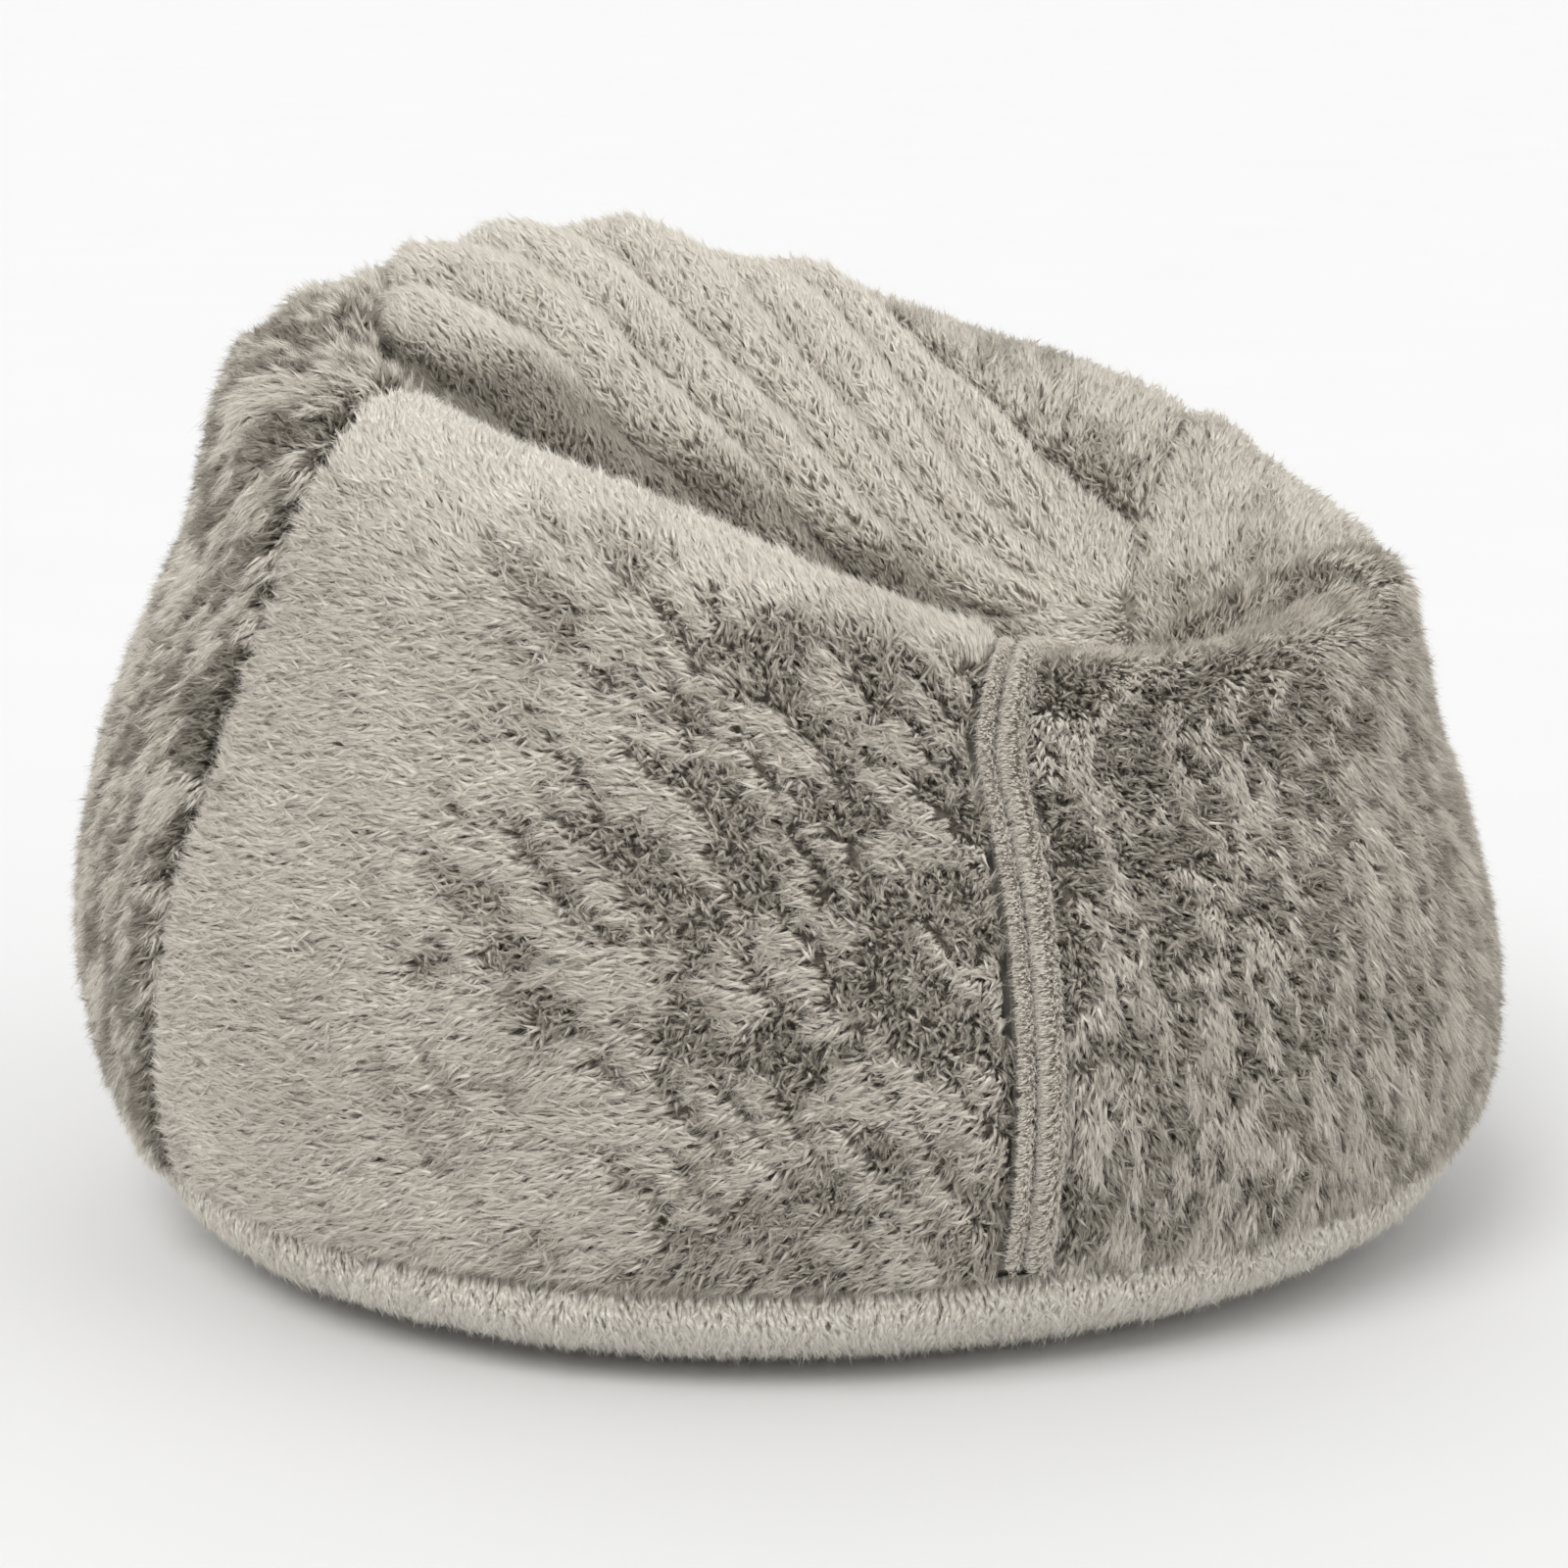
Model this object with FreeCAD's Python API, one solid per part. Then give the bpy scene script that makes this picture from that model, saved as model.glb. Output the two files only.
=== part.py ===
import FreeCAD, Part
import math
import os

# Bean bag chair with a faux fur cover, in millimetres.
# +Z is up, the front (the low side of the rim) faces -Y, and the origin is the
# centre of the flat face that rests on the floor.
#
# The bag's outer surface is found by a direction and a level:
#   direction: degrees round the bag, 0 at the front, 90 at +X, 180 at the back;
#   level: 0 at the bottom of the seat hollow, 1 on the crest of the rim, 2 at the
#   shoulder, 3 at the base seam and 4 where the bag meets the floor.

# ---- driving dimensions: the bag --------------------------------------------------

BASE_SEAM_HEIGHT = 70.0      # seam between the side panels and the base panel
FLOOR_RADIUS = 362.0         # flat round patch that rests on the floor
HOLLOW = (150.0, -80.0, 330.0)   # lowest point of the seat
CREST_SHIFT = 38.0           # the rim is centred this far towards +X
CREST_LEVEL, SHOULDER_LEVEL, BASE_SEAM_LEVEL, FLOOR_LEVEL = 1.0, 2.0, 3.0, 4.0

# Eight profiles, 45 degrees apart from the front. Reach is measured from the Z axis.
# base seam reach, shoulder reach, shoulder height, side bulge, crest reach, crest height
PROFILES = (
    (475, 433, 408, 48, 362, 479),   # front, along the zip
    (503, 485, 352, 26, 395, 472),   # front right
    (510, 470, 385, 28, 368, 516),   # right
    (478, 452, 465, 32, 325, 602),   # back right
    (463, 433, 530, 38, 290, 677),   # back
    (475, 432, 520, 46, 325, 692),   # back left, the highest part
    (494, 446, 492, 44, 385, 645),   # left
    (486, 450, 466, 44, 380, 584),   # front left
)

# ---- driving dimensions: layers, as depth below the outer surface ------------------

COVER_DEPTH = 12.0           # backing cloth and the pile pressed flat on it
LINER_OUT, LINER_IN = 16.0, 18.0
FILL_DEPTH = 23.0
PANEL_GAP = 2.2              # between neighbouring panels, at a seam

# ---- driving dimensions: seams, as (direction, level) points ----------------------

LEFT_TOP = (-80.0, 0.87)     # front left, left back and seat panels meet
STEM_FOOT = (97.0, 0.42)     # front right, right back and seat panels meet
FORK = (105.0, 0.64)         # right back, rear and seat panels meet
BACK_TOP = (232.0, 1.0)      # rear, left back and seat panels meet
BASE_CORNERS = {"left": -81.0, "right": 80.0, "back_right": 140.0, "back": 210.0}

LEFT_SEAM = ((-81, 3), (-73, 2.35), (-72, 1.7), (-72, 1.15), LEFT_TOP)
RIGHT_SEAM = ((80, 3), (77, 2), (69, 1.2), (70, 0.88), (79, 0.63), STEM_FOOT)
BACK_RIGHT_SEAM = ((140, 3), (128, 2), (112, 1.2), (106, 0.86), FORK)
BACK_SEAM = ((210, 3), (221, 2), (229, 1.3), BACK_TOP)
FORK_STEM = (STEM_FOOT, (101, 0.53), FORK)
SEAT_FRONT_SEAM = (LEFT_TOP, (-60, 0.86), (-38, 0.85), (0, 0.76), (40, 0.56), STEM_FOOT)
SEAT_BACK_SEAM = (FORK, (131, 0.70), (152, 0.86), (172, 1.08), (205, 1.12), BACK_TOP)
SEAT_LEFT_SEAM = (BACK_TOP, (256, 0.91), (280, 0.87))
SEAT_CORNER = 0.75           # where the seat's front seam turns to run up its right side

# ---- driving dimensions: front placket, measured across its middle line ------------

PLACKET_SIDES = (-13.6, 20.8)    # edges of the two front panels
EDGE_LIP = (-12.8, -0.8)         # narrow lip
FLAP_LIP = (0.8, 20.0)           # wide lip
LIP_PROUD, LIP_DEPTH = 3.5, 4.5  # above and below the bag's surface
LIP_LEVELS = (2.955, 0.84)       # from just above the base seam to inside the rim

# ---- driving dimensions: zips; depths run inward from the coil's outer side ---------

COIL_WIDTH, COIL_HEIGHT = 2.5, 2.4
COIL_SPACE = 0.9             # half the space that the slider's post runs in
TAPE_WIDTH, TAPE_TOP, TAPE_THICK = 12.0, 2.45, 0.8
STOP_LENGTH = 4.0
SLIDER_LENGTH, SLIDER_HALF_WIDTH = 13.0, 5.2
SLIDER_PLATE, SLIDER_PLAY = 1.2, 0.45
POST_HALF_WIDTH, POST_LENGTH = 0.45, 5.0
LUG_HALF_WIDTH, LUG_LENGTH, LUG_HEIGHT = 0.7, 6.0, 1.4

FRONT_COIL_DEPTH = 8.1       # below the bag's surface
FRONT_ZIP_MARGIN = 12.0      # left free at each end of the side arc
LINER_COIL_HEIGHT = 14.6     # above the floor, coil facing down
LINER_ZIP_LENGTH = 300.0
LINER_SLOT_WIDTH, LINER_SLOT_LENGTH = 27.0, 302.0
LINER_BASE_RADIUS = FLOOR_RADIUS - 1.0


# ---- the bag's surface --------------------------------------------------------------

def around(values, direction):
    """Smooth value at any direction from values at equally spaced directions."""
    count = len(values)
    place = (direction % 360.0) * count / 360.0
    i, f = int(place) % count, place - int(place)
    a, b, c, d = (values[(i + k) % count] for k in (-1, 0, 1, 2))
    return 0.5 * (2 * b + (c - a) * f + (2 * a - 5 * b + 4 * c - d) * f ** 2
                  + (3 * b - a - 3 * c + d) * f ** 3)


def hermite(p, q, start, end, f):
    """Point on the curve from p to q that leaves along start and arrives along end."""
    weights = (2 * f ** 3 - 3 * f ** 2 + 1, 3 * f ** 2 - 2 * f ** 3,
               f ** 3 - 2 * f ** 2 + f, f ** 3 - f ** 2)
    return p * weights[0] + q * weights[1] + start * weights[2] + end * weights[3]


def side_arc(direction):
    """Arc from the base seam to the shoulder: centre, radius, middle angle, half angle."""
    seam, shoulder, height, bulge = (around([row[k] for row in PROFILES], direction)
                                     for k in range(4))
    run, rise = shoulder - seam, height - BASE_SEAM_HEIGHT
    chord = math.hypot(run, rise)
    radius = (chord ** 2 / 4 + bulge ** 2) / (2 * bulge)
    out, up = rise / chord, -run / chord
    centre = ((seam + shoulder) / 2 - (radius - bulge) * out,
              (BASE_SEAM_HEIGHT + height) / 2 - (radius - bulge) * up)
    return centre, radius, math.atan2(up, out), math.asin(chord / 2 / radius)


def outward(direction):
    angle = math.radians(direction)
    return FreeCAD.Vector(math.sin(angle), -math.cos(angle), 0)


def surface_point(direction, level):
    """Point of the bag's outer surface."""
    out, up = outward(direction), FreeCAD.Vector(0, 0, 1)
    (cr, cz), radius, middle, half = side_arc(direction)

    def on_arc(angle):
        return out * (cr + radius * math.cos(angle)) + up * (cz + radius * math.sin(angle))

    def down_arc(angle):
        return out * math.sin(angle) - up * math.cos(angle)

    if level >= BASE_SEAM_LEVEL:
        start, end = on_arc(middle - half), out * FLOOR_RADIUS
        reach = 0.9 * (end - start).Length
        return hermite(start, end, down_arc(middle - half) * reach, out * -reach,
                       level - BASE_SEAM_LEVEL)
    if level >= SHOULDER_LEVEL:
        return on_arc(middle + half - 2 * half * (level - SHOULDER_LEVEL))

    crest_reach = around([row[4] for row in PROFILES], direction)
    crest_height = around([row[5] for row in PROFILES], direction)
    crest = out * crest_reach + FreeCAD.Vector(CREST_SHIFT, 0, crest_height)
    if level >= CREST_LEVEL:
        shoulder = on_arc(middle + half)
        reach = (shoulder - crest).Length
        flat = FreeCAD.Vector(shoulder.x - crest.x, shoulder.y - crest.y, 0).normalize()
        return hermite(crest, shoulder, flat * reach, down_arc(middle + half) * reach,
                       level - CREST_LEVEL)

    hollow = FreeCAD.Vector(*HOLLOW)
    rise = (1 - math.cos(math.pi * level)) / 2
    point = hollow + (crest - hollow) * level
    point.z = hollow.z + (crest.z - hollow.z) * rise
    return point


def to_map(direction, level):
    """Flat map of the surface, with the bottom of the hollow at its middle."""
    angle = math.radians(direction)
    return level * math.sin(angle), -level * math.cos(angle)


def from_map(x, y):
    return math.degrees(math.atan2(x, -y)), math.hypot(x, y)


def map_point(x, y, depth):
    """Point at a depth below the outer surface, measured square to it."""
    step = 0.01
    if depth == 0:
        return surface_point(*from_map(x, y))
    near = [surface_point(*from_map(x + dx, y + dy))
            for dx, dy in ((step, 0), (-step, 0), (0, step), (0, -step))]
    normal = (near[0] - near[1]).cross(near[2] - near[3]).normalize()
    return surface_point(*from_map(x, y)) - normal * depth


# ---- solids from grids of points ----------------------------------------------------

def evenly(count):
    return [i / (count - 1) for i in range(count)]


def spline(points):
    curve = Part.BSplineCurve()
    curve.interpolate(Points=points, Parameters=evenly(len(points)))
    return curve


def smooth_surface(rows):
    """Surface through a grid of points: each row is splined, then the rows' poles."""
    across = [spline(row) for row in rows]
    along_poles = [spline(list(column)) for column in zip(*(c.getPoles() for c in across))]
    poles = [list(row) for row in zip(*(c.getPoles() for c in along_poles))]
    surface = Part.BSplineSurface()
    surface.buildFromPolesMultsKnots(
        poles, along_poles[0].getMultiplicities(), across[0].getMultiplicities(),
        along_poles[0].getKnots(), across[0].getKnots(), False, False,
        along_poles[0].Degree, across[0].Degree)
    return surface


def straight_between(first, second):
    """Face swept by a straight line between two curves that share their knots."""
    surface = Part.BSplineSurface()
    surface.buildFromPolesMultsKnots(
        [first.getPoles(), second.getPoles()], [2, 2], first.getMultiplicities(),
        [0, 1], first.getKnots(), False, False, 1, first.Degree)
    return surface.toShape()


def skin_solid(outer_rows, inner_rows):
    """Solid between two smooth four-sided faces."""
    faces, borders = [], []
    for rows in (outer_rows, inner_rows):
        surface = smooth_surface(rows)
        first_u, last_u, first_v, last_v = surface.bounds()
        faces.append(surface.toShape())
        borders.append([surface.uIso(first_u), surface.uIso(last_u),
                        surface.vIso(first_v), surface.vIso(last_v)])
    faces += [straight_between(outer, inner) for outer, inner in zip(*borders)]
    shell = Part.makeShell(faces)
    shell.sewShape()
    return closed_solid(shell)


def closed_solid(shell):
    if shell.ShapeType != "Shell":
        shell = shell.Shells[0]
    solid = Part.makeSolid(shell)
    if solid.Volume < 0:
        solid.reverse()
    return solid


def through(points, f):
    """Map position at fraction f of a list of seam points, smooth through them."""
    count = len(points) - 1
    i = min(int(f * count), count - 1)
    g = f * count - i
    quad = [points[min(max(i + k, 0), count)] for k in (-1, 0, 1, 2)]
    return to_map(*(0.5 * (2 * b + (c - a) * g + (2 * a - 5 * b + 4 * c - d) * g ** 2
                           + (3 * b - a - 3 * c + d) * g ** 3) for a, b, c, d in zip(*quad)))


def by_length(path, steps=240):
    """The same path, run through at an even speed from 0 to 1."""
    places = [path(i / steps) for i in range(steps + 1)]
    runs = [0.0]
    for a, b in zip(places, places[1:]):
        runs.append(runs[-1] + math.dist(a, b))

    def side(f):
        length = f * runs[-1]
        i = max(k for k in range(steps) if runs[k] <= length + 1e-12)
        g = (length - runs[i]) / (runs[i + 1] - runs[i])
        return tuple(p + (q - p) * g for p, q in zip(places[i], places[i + 1]))
    return side


def seam(points):
    """Side of a panel: map position at a fraction of the seam's length."""
    return by_length(lambda f: through(points, f))


def chained(first, second):
    """One side made of two, end to end."""
    return by_length(lambda f: first(2 * f) if f <= 0.5 else second(2 * f - 1))


def backwards(side):
    return lambda f: side(1 - f)


def base_side(first, last):
    return lambda f: to_map(first + (last - first) * f, BASE_SEAM_LEVEL)


def placket_side(across):
    """Edge of a front panel, this far across from the placket's middle line."""
    top = from_map(*SEAT_FRONT(placket_fraction(across)))[1]

    def side(f):
        level = BASE_SEAM_LEVEL + (top - BASE_SEAM_LEVEL) * f
        return to_map(placket_direction(across, level), level)
    return side


def placket_fraction(across):
    """Where along the seat's front seam this edge of the placket meets it."""
    low, high = 0.0, 1.0
    while high - low > 1e-9:
        middle = (low + high) / 2
        direction, level = from_map(*SEAT_FRONT(middle))
        if direction < placket_direction(across, level):
            low = middle
        else:
            high = middle
    return low


def stretch(side, start, end):
    return lambda f: side(start + (end - start) * f)


def placket_direction(across, level):
    per_degree = (surface_point(0.5, level) - surface_point(-0.5, level)).Length
    return across / per_degree


SEAT_FRONT = seam(SEAT_FRONT_SEAM)


def four_sided(bottom, top, left, right, u, v):
    """Map position inside four sides; left and right run from bottom to top."""
    corners = ((bottom(0), (1 - u) * (1 - v)), (bottom(1), u * (1 - v)),
               (top(0), (1 - u) * v), (top(1), u * v))
    return tuple((1 - v) * bottom(u)[k] + v * top(u)[k] + (1 - u) * left(v)[k]
                 + u * right(v)[k] - sum(c[k] * w for c, w in corners) for k in (0, 1))


def panel(bottom, top, left, right, across, up, columns=15, rows=25):
    """Cover panel; across and up are its rough size in mm, which set the seam gaps."""
    def grid(depth):
        table = []
        for i in range(columns):
            u = PANEL_GAP / 2 / across + i / (columns - 1) * (1 - PANEL_GAP / across)
            row = []
            for j in range(rows):
                v = PANEL_GAP / 2 / up + j / (rows - 1) * (1 - PANEL_GAP / up)
                row.append(map_point(*four_sided(bottom, top, left, right, u, v), depth))
            table.append(row)
        return table
    return skin_solid(grid(0), grid(COVER_DEPTH))


# ---- cover --------------------------------------------------------------------------

def side_panels():
    """The five upright panels between the base seam and the seat."""
    corner = BASE_CORNERS
    front_left = stretch(SEAT_FRONT, 0, placket_fraction(PLACKET_SIDES[0]))
    front_right = stretch(SEAT_FRONT, placket_fraction(PLACKET_SIDES[1]), 1)
    edge_at_base = placket_direction(PLACKET_SIDES[0], BASE_SEAM_LEVEL)
    flap_at_base = placket_direction(PLACKET_SIDES[1], BASE_SEAM_LEVEL)
    return {
        "front_left_panel": panel(base_side(corner["left"], edge_at_base), front_left,
                                  seam(LEFT_SEAM), placket_side(PLACKET_SIDES[0]), 600, 560),
        "front_right_panel": panel(base_side(flap_at_base, corner["right"]), front_right,
                                   placket_side(PLACKET_SIDES[1]), seam(RIGHT_SEAM), 600, 600),
        "right_back_panel": panel(base_side(corner["right"], corner["back_right"]),
                                  seam(FORK_STEM), seam(RIGHT_SEAM), seam(BACK_RIGHT_SEAM),
                                  200, 650),
        "rear_panel": panel(base_side(corner["back_right"], corner["back"]),
                            seam(SEAT_BACK_SEAM), seam(BACK_RIGHT_SEAM), seam(BACK_SEAM),
                            520, 650),
        "left_back_panel": panel(base_side(corner["back"], corner["left"] + 360),
                                 seam(SEAT_LEFT_SEAM), seam(BACK_SEAM),
                                 seam([(d + 360, level) for d, level in LEFT_SEAM]), 450, 700),
    }


def seat_panel():
    """The panel that is sat on: the hollow, and the slope up to and over the back rim."""
    front = stretch(SEAT_FRONT, 0, SEAT_CORNER)
    right = chained(stretch(SEAT_FRONT, SEAT_CORNER, 1), seam(FORK_STEM))
    return panel(front, backwards(seam(SEAT_BACK_SEAM)), backwards(seam(SEAT_LEFT_SEAM)),
                 right, 600, 400, 33, 33)


def ring(level, depth):
    """Closed smooth curve round the bag."""
    count = 48
    points = [map_point(*to_map(360.0 * i / count, level), depth) for i in range(count)]
    curve = Part.BSplineCurve()
    curve.interpolate(Points=points, PeriodicFlag=True)
    return Part.Wire(curve.toShape())


def base_panel():
    """Shallow dish: flat on the floor, curling up to the base seam."""
    top = BASE_SEAM_LEVEL + PANEL_GAP / 2 / 110
    levels = [top + (FLOOR_LEVEL - top) * f for f in (0, 0.25, 0.5, 0.75)]
    faces, rims = [], []
    for depth in (0, COVER_DEPTH):
        circle = Part.makeCircle(FLOOR_RADIUS, FreeCAD.Vector(0, 0, depth))
        circle.rotate(FreeCAD.Vector(), FreeCAD.Vector(0, 0, 1), -90)
        floor_ring = Part.Wire(circle)
        rings = [ring(level, depth) for level in levels] + [floor_ring]
        faces += Part.makeLoft(rings, False, False).Faces
        faces.append(Part.Face(floor_ring))
        rims.append(rings[0].Edges[0])
    faces.append(Part.makeRuledSurface(*rims))
    shell = Part.makeShell(faces)
    shell.sewShape(0.01)
    return closed_solid(shell)


def placket_lip(sides):
    """One folded fur strip of the placket, following the front profile."""
    columns, rows = 4, 33

    def grid(depth):
        table = []
        for i in range(columns):
            across = sides[0] + (sides[1] - sides[0]) * i / (columns - 1)
            row = []
            for j in range(rows):
                level = LIP_LEVELS[0] + (LIP_LEVELS[1] - LIP_LEVELS[0]) * j / (rows - 1)
                place = to_map(placket_direction(across, level), level)
                row.append(map_point(*place, depth))
            table.append(row)
        return table
    return skin_solid(grid(-LIP_PROUD), grid(LIP_DEPTH))


# ---- inside: liner and filling ------------------------------------------------------

def whole_bag(depth, count=49):
    """Grid over the whole bag down to the floor patch, at a depth below its surface."""
    def place(u, v):
        return (FLOOR_LEVEL * u * math.sqrt(1 - v * v / 2),
                FLOOR_LEVEL * v * math.sqrt(1 - u * u / 2))
    steps = [2 * f - 1 for f in evenly(count)]
    return [[map_point(*place(u, v), depth) for v in steps] for u in steps]


def liner_body():
    return skin_solid(whole_bag(LINER_OUT), whole_bag(LINER_IN))


def liner_base():
    """Flat round sheet with a slot for the zip."""
    disc = Part.makeCylinder(LINER_BASE_RADIUS, LINER_IN - LINER_OUT,
                             FreeCAD.Vector(0, 0, LINER_OUT))
    slot = Part.makeBox(LINER_SLOT_LENGTH, LINER_SLOT_WIDTH, LINER_IN,
                        FreeCAD.Vector(-LINER_SLOT_LENGTH / 2, -LINER_SLOT_WIDTH / 2, LINER_OUT / 2))
    return disc.cut(slot)


def bead_fill():
    skin = smooth_surface(whole_bag(FILL_DEPTH)).toShape()
    base = Part.Face(Part.Wire(Part.__sortEdges__(skin.Edges)))
    shell = Part.makeShell([skin, base])
    shell.sewShape()
    return closed_solid(shell)


# ---- zips ---------------------------------------------------------------------------

def front_bar(across, depth, start, end):
    """Bar along the front zip's arc; start and end are mm down from the arc's top."""
    (cr, cz), radius, middle, half = side_arc(0)
    coil_radius = radius - FRONT_COIL_DEPTH
    top = middle + half - start / coil_radius
    axis_point = FreeCAD.Vector(0, -cr, cz)

    def corner(x, d):
        r = coil_radius - d
        return FreeCAD.Vector(x, -cr - r * math.cos(top), cz + r * math.sin(top))
    (x0, x1), (d0, d1) = across, depth
    outline = [corner(x0, d0), corner(x1, d0), corner(x1, d1), corner(x0, d1), corner(x0, d0)]
    face = Part.Face(Part.makePolygon(outline))
    return face.revolve(axis_point, FreeCAD.Vector(1, 0, 0),
                        math.degrees((end - start) / coil_radius))


def front_zip_length():
    (_, _), radius, _, half = side_arc(0)
    return 2 * half * (radius - FRONT_COIL_DEPTH)


def liner_bar(across, depth, start, end):
    """Bar along the liner's zip, which runs along X from its -X end."""
    (y0, y1), (d0, d1) = across, depth
    return Part.makeBox(end - start, y1 - y0, d1 - d0, FreeCAD.Vector(
        start - LINER_ZIP_LENGTH / 2, y0, LINER_COIL_HEIGHT + d0))


def zip_pieces(prefix, bar, start, end, lug):
    """Tapes, coils, stops and slider of one closed zip; the slider is at its start."""
    coil_side = COIL_SPACE + COIL_WIDTH
    tape_end = TAPE_TOP + TAPE_THICK
    first, last = start + STOP_LENGTH + 0.1, end - STOP_LENGTH - 0.1
    pieces = {}
    for name, sign in (("left", -1), ("right", 1)):
        coil = sorted((sign * COIL_SPACE, sign * coil_side))
        tape = sorted((sign * COIL_SPACE, sign * (COIL_SPACE + TAPE_WIDTH)))
        pieces[prefix + "_coil_" + name] = bar(coil, (0, COIL_HEIGHT), first, last)
        pieces[prefix + "_tape_" + name] = bar(tape, (TAPE_TOP, tape_end), start, end)
    for name, at in (("top", start), ("bottom", last + 0.1)):
        pieces[prefix + "_" + name + "_stop"] = bar((-coil_side, coil_side), (-0.3, COIL_HEIGHT),
                                                    at, at + STOP_LENGTH)

    head = first + SLIDER_PLAY
    tail = head + SLIDER_LENGTH
    middle = (head + tail) / 2
    inside = coil_side + SLIDER_PLAY
    wide = (-SLIDER_HALF_WIDTH, SLIDER_HALF_WIDTH)
    slider = bar(wide, (-SLIDER_PLAY - SLIDER_PLATE, -SLIDER_PLAY), head, tail)
    slider = slider.fuse([
        bar(wide, (tape_end + SLIDER_PLAY, tape_end + SLIDER_PLAY + SLIDER_PLATE), head, tail),
        bar((-POST_HALF_WIDTH, POST_HALF_WIDTH), (-SLIDER_PLAY - 0.1, tape_end + SLIDER_PLAY + 0.1),
            middle - POST_LENGTH / 2, middle + POST_LENGTH / 2),
        bar((-SLIDER_HALF_WIDTH, -inside), (-SLIDER_PLAY - 0.1, TAPE_TOP - SLIDER_PLAY), head, tail),
        bar((inside, SLIDER_HALF_WIDTH), (-SLIDER_PLAY - 0.1, TAPE_TOP - SLIDER_PLAY), head, tail),
    ])
    if lug:
        outer = -SLIDER_PLAY - SLIDER_PLATE
        slider = slider.fuse(bar((-LUG_HALF_WIDTH, LUG_HALF_WIDTH), (outer - LUG_HEIGHT, outer + 0.1),
                                 middle - LUG_LENGTH / 2, middle + LUG_LENGTH / 2))
    pieces[prefix + "_slider"] = slider.removeSplitter()
    travel = last - tail - SLIDER_PLAY
    return pieces, travel


# ---- the whole chair ----------------------------------------------------------------

def nodes():
    shapes = side_panels()
    shapes["seat_panel"] = seat_panel()
    shapes["base_panel"] = base_panel()
    shapes["placket_edge"] = placket_lip(EDGE_LIP)
    shapes["placket_flap"] = placket_lip(FLAP_LIP)
    shapes["liner_body"] = liner_body()
    shapes["liner_base"] = liner_base()
    shapes["bead_fill"] = bead_fill()

    front, travel = zip_pieces("zip", front_bar, FRONT_ZIP_MARGIN,
                               front_zip_length() - FRONT_ZIP_MARGIN, True)
    (cr, cz), radius, _, _ = side_arc(0)
    print("zip arc centre y %.2f z %.2f, coil radius %.2f, travel %.2f degrees"
          % (-cr, cz, radius - FRONT_COIL_DEPTH,
             math.degrees(travel / (radius - FRONT_COIL_DEPTH))))
    liner, travel = zip_pieces("liner_zip", liner_bar, 0, LINER_ZIP_LENGTH, False)
    print("liner zip travel %.2f mm" % travel)
    shapes.update(front)
    shapes.update(liner)
    return shapes


os.makedirs("parts", exist_ok=True)
for name, shape in nodes().items():
    if shape.ShapeType == "Compound" and len(shape.Solids) == 1:
        shape = shape.Solids[0]
    print("%-20s %s valid %s volume %.1f cm3" % (
        name, shape.ShapeType, shape.isValid(), shape.Volume / 1000))
    shape.exportStep("parts/%s.step" % name)
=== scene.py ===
import math

import bpy
import numpy as np
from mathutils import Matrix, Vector


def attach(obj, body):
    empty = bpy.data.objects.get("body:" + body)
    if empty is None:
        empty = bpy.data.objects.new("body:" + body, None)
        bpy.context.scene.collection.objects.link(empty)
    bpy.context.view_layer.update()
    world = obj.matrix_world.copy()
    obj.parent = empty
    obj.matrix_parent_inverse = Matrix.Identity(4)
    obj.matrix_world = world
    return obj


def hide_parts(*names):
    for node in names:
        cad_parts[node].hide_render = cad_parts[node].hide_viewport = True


# Looks of the bean bag chair: a faux fur cover built panel by panel over the packed
# frame. Metres, +Z up, front towards -Y. Each panel is a closed backing cloth with
# thousands of closed, bent, tapered locks of pile rooted in it.

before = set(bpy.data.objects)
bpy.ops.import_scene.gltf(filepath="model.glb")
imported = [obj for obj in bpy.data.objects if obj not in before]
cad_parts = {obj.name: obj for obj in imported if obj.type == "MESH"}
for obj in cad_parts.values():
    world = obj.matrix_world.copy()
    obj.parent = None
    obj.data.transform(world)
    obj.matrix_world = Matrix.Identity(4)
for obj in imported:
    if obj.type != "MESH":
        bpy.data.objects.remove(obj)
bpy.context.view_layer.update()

# ---- the bag's surface, as direction (degrees from the front) and level -------------

BASE_SEAM_HEIGHT = 0.070
FLOOR_RADIUS = 0.362
HOLLOW = np.array((0.150, -0.080, 0.330))
CREST_SHIFT = 0.038
# base seam reach, shoulder reach, shoulder height, side bulge, crest reach, crest height
PROFILES = np.array((
    (475, 433, 408, 48, 362, 479), (503, 485, 352, 26, 395, 472),
    (510, 470, 385, 28, 368, 516), (478, 452, 465, 32, 325, 602),
    (463, 433, 530, 38, 290, 677), (475, 432, 520, 46, 325, 692),
    (494, 446, 492, 44, 385, 645), (486, 450, 466, 44, 380, 584))) / 1000

LEFT_TOP, STEM_FOOT, FORK, BACK_TOP = (-80, .87), (97, .42), (105, .64), (232, 1.0)
CORNER = {"left": -81, "right": 80, "back_right": 140, "back": 210}
LEFT_SEAM = ((-81, 3), (-73, 2.35), (-72, 1.7), (-72, 1.15), LEFT_TOP)
RIGHT_SEAM = ((80, 3), (77, 2), (69, 1.2), (70, .88), (79, .63), STEM_FOOT)
BACK_RIGHT_SEAM = ((140, 3), (128, 2), (112, 1.2), (106, .86), FORK)
BACK_SEAM = ((210, 3), (221, 2), (229, 1.3), BACK_TOP)
FORK_STEM = (STEM_FOOT, (101, .53), FORK)
SEAT_FRONT_SEAM = (LEFT_TOP, (-60, .86), (-38, .85), (0, .76), (40, .56), STEM_FOOT)
SEAT_BACK_SEAM = (FORK, (131, .70), (152, .86), (172, 1.08), (205, 1.12), BACK_TOP)
SEAT_LEFT_SEAM = (BACK_TOP, (256, .91), (280, .87))
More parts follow.
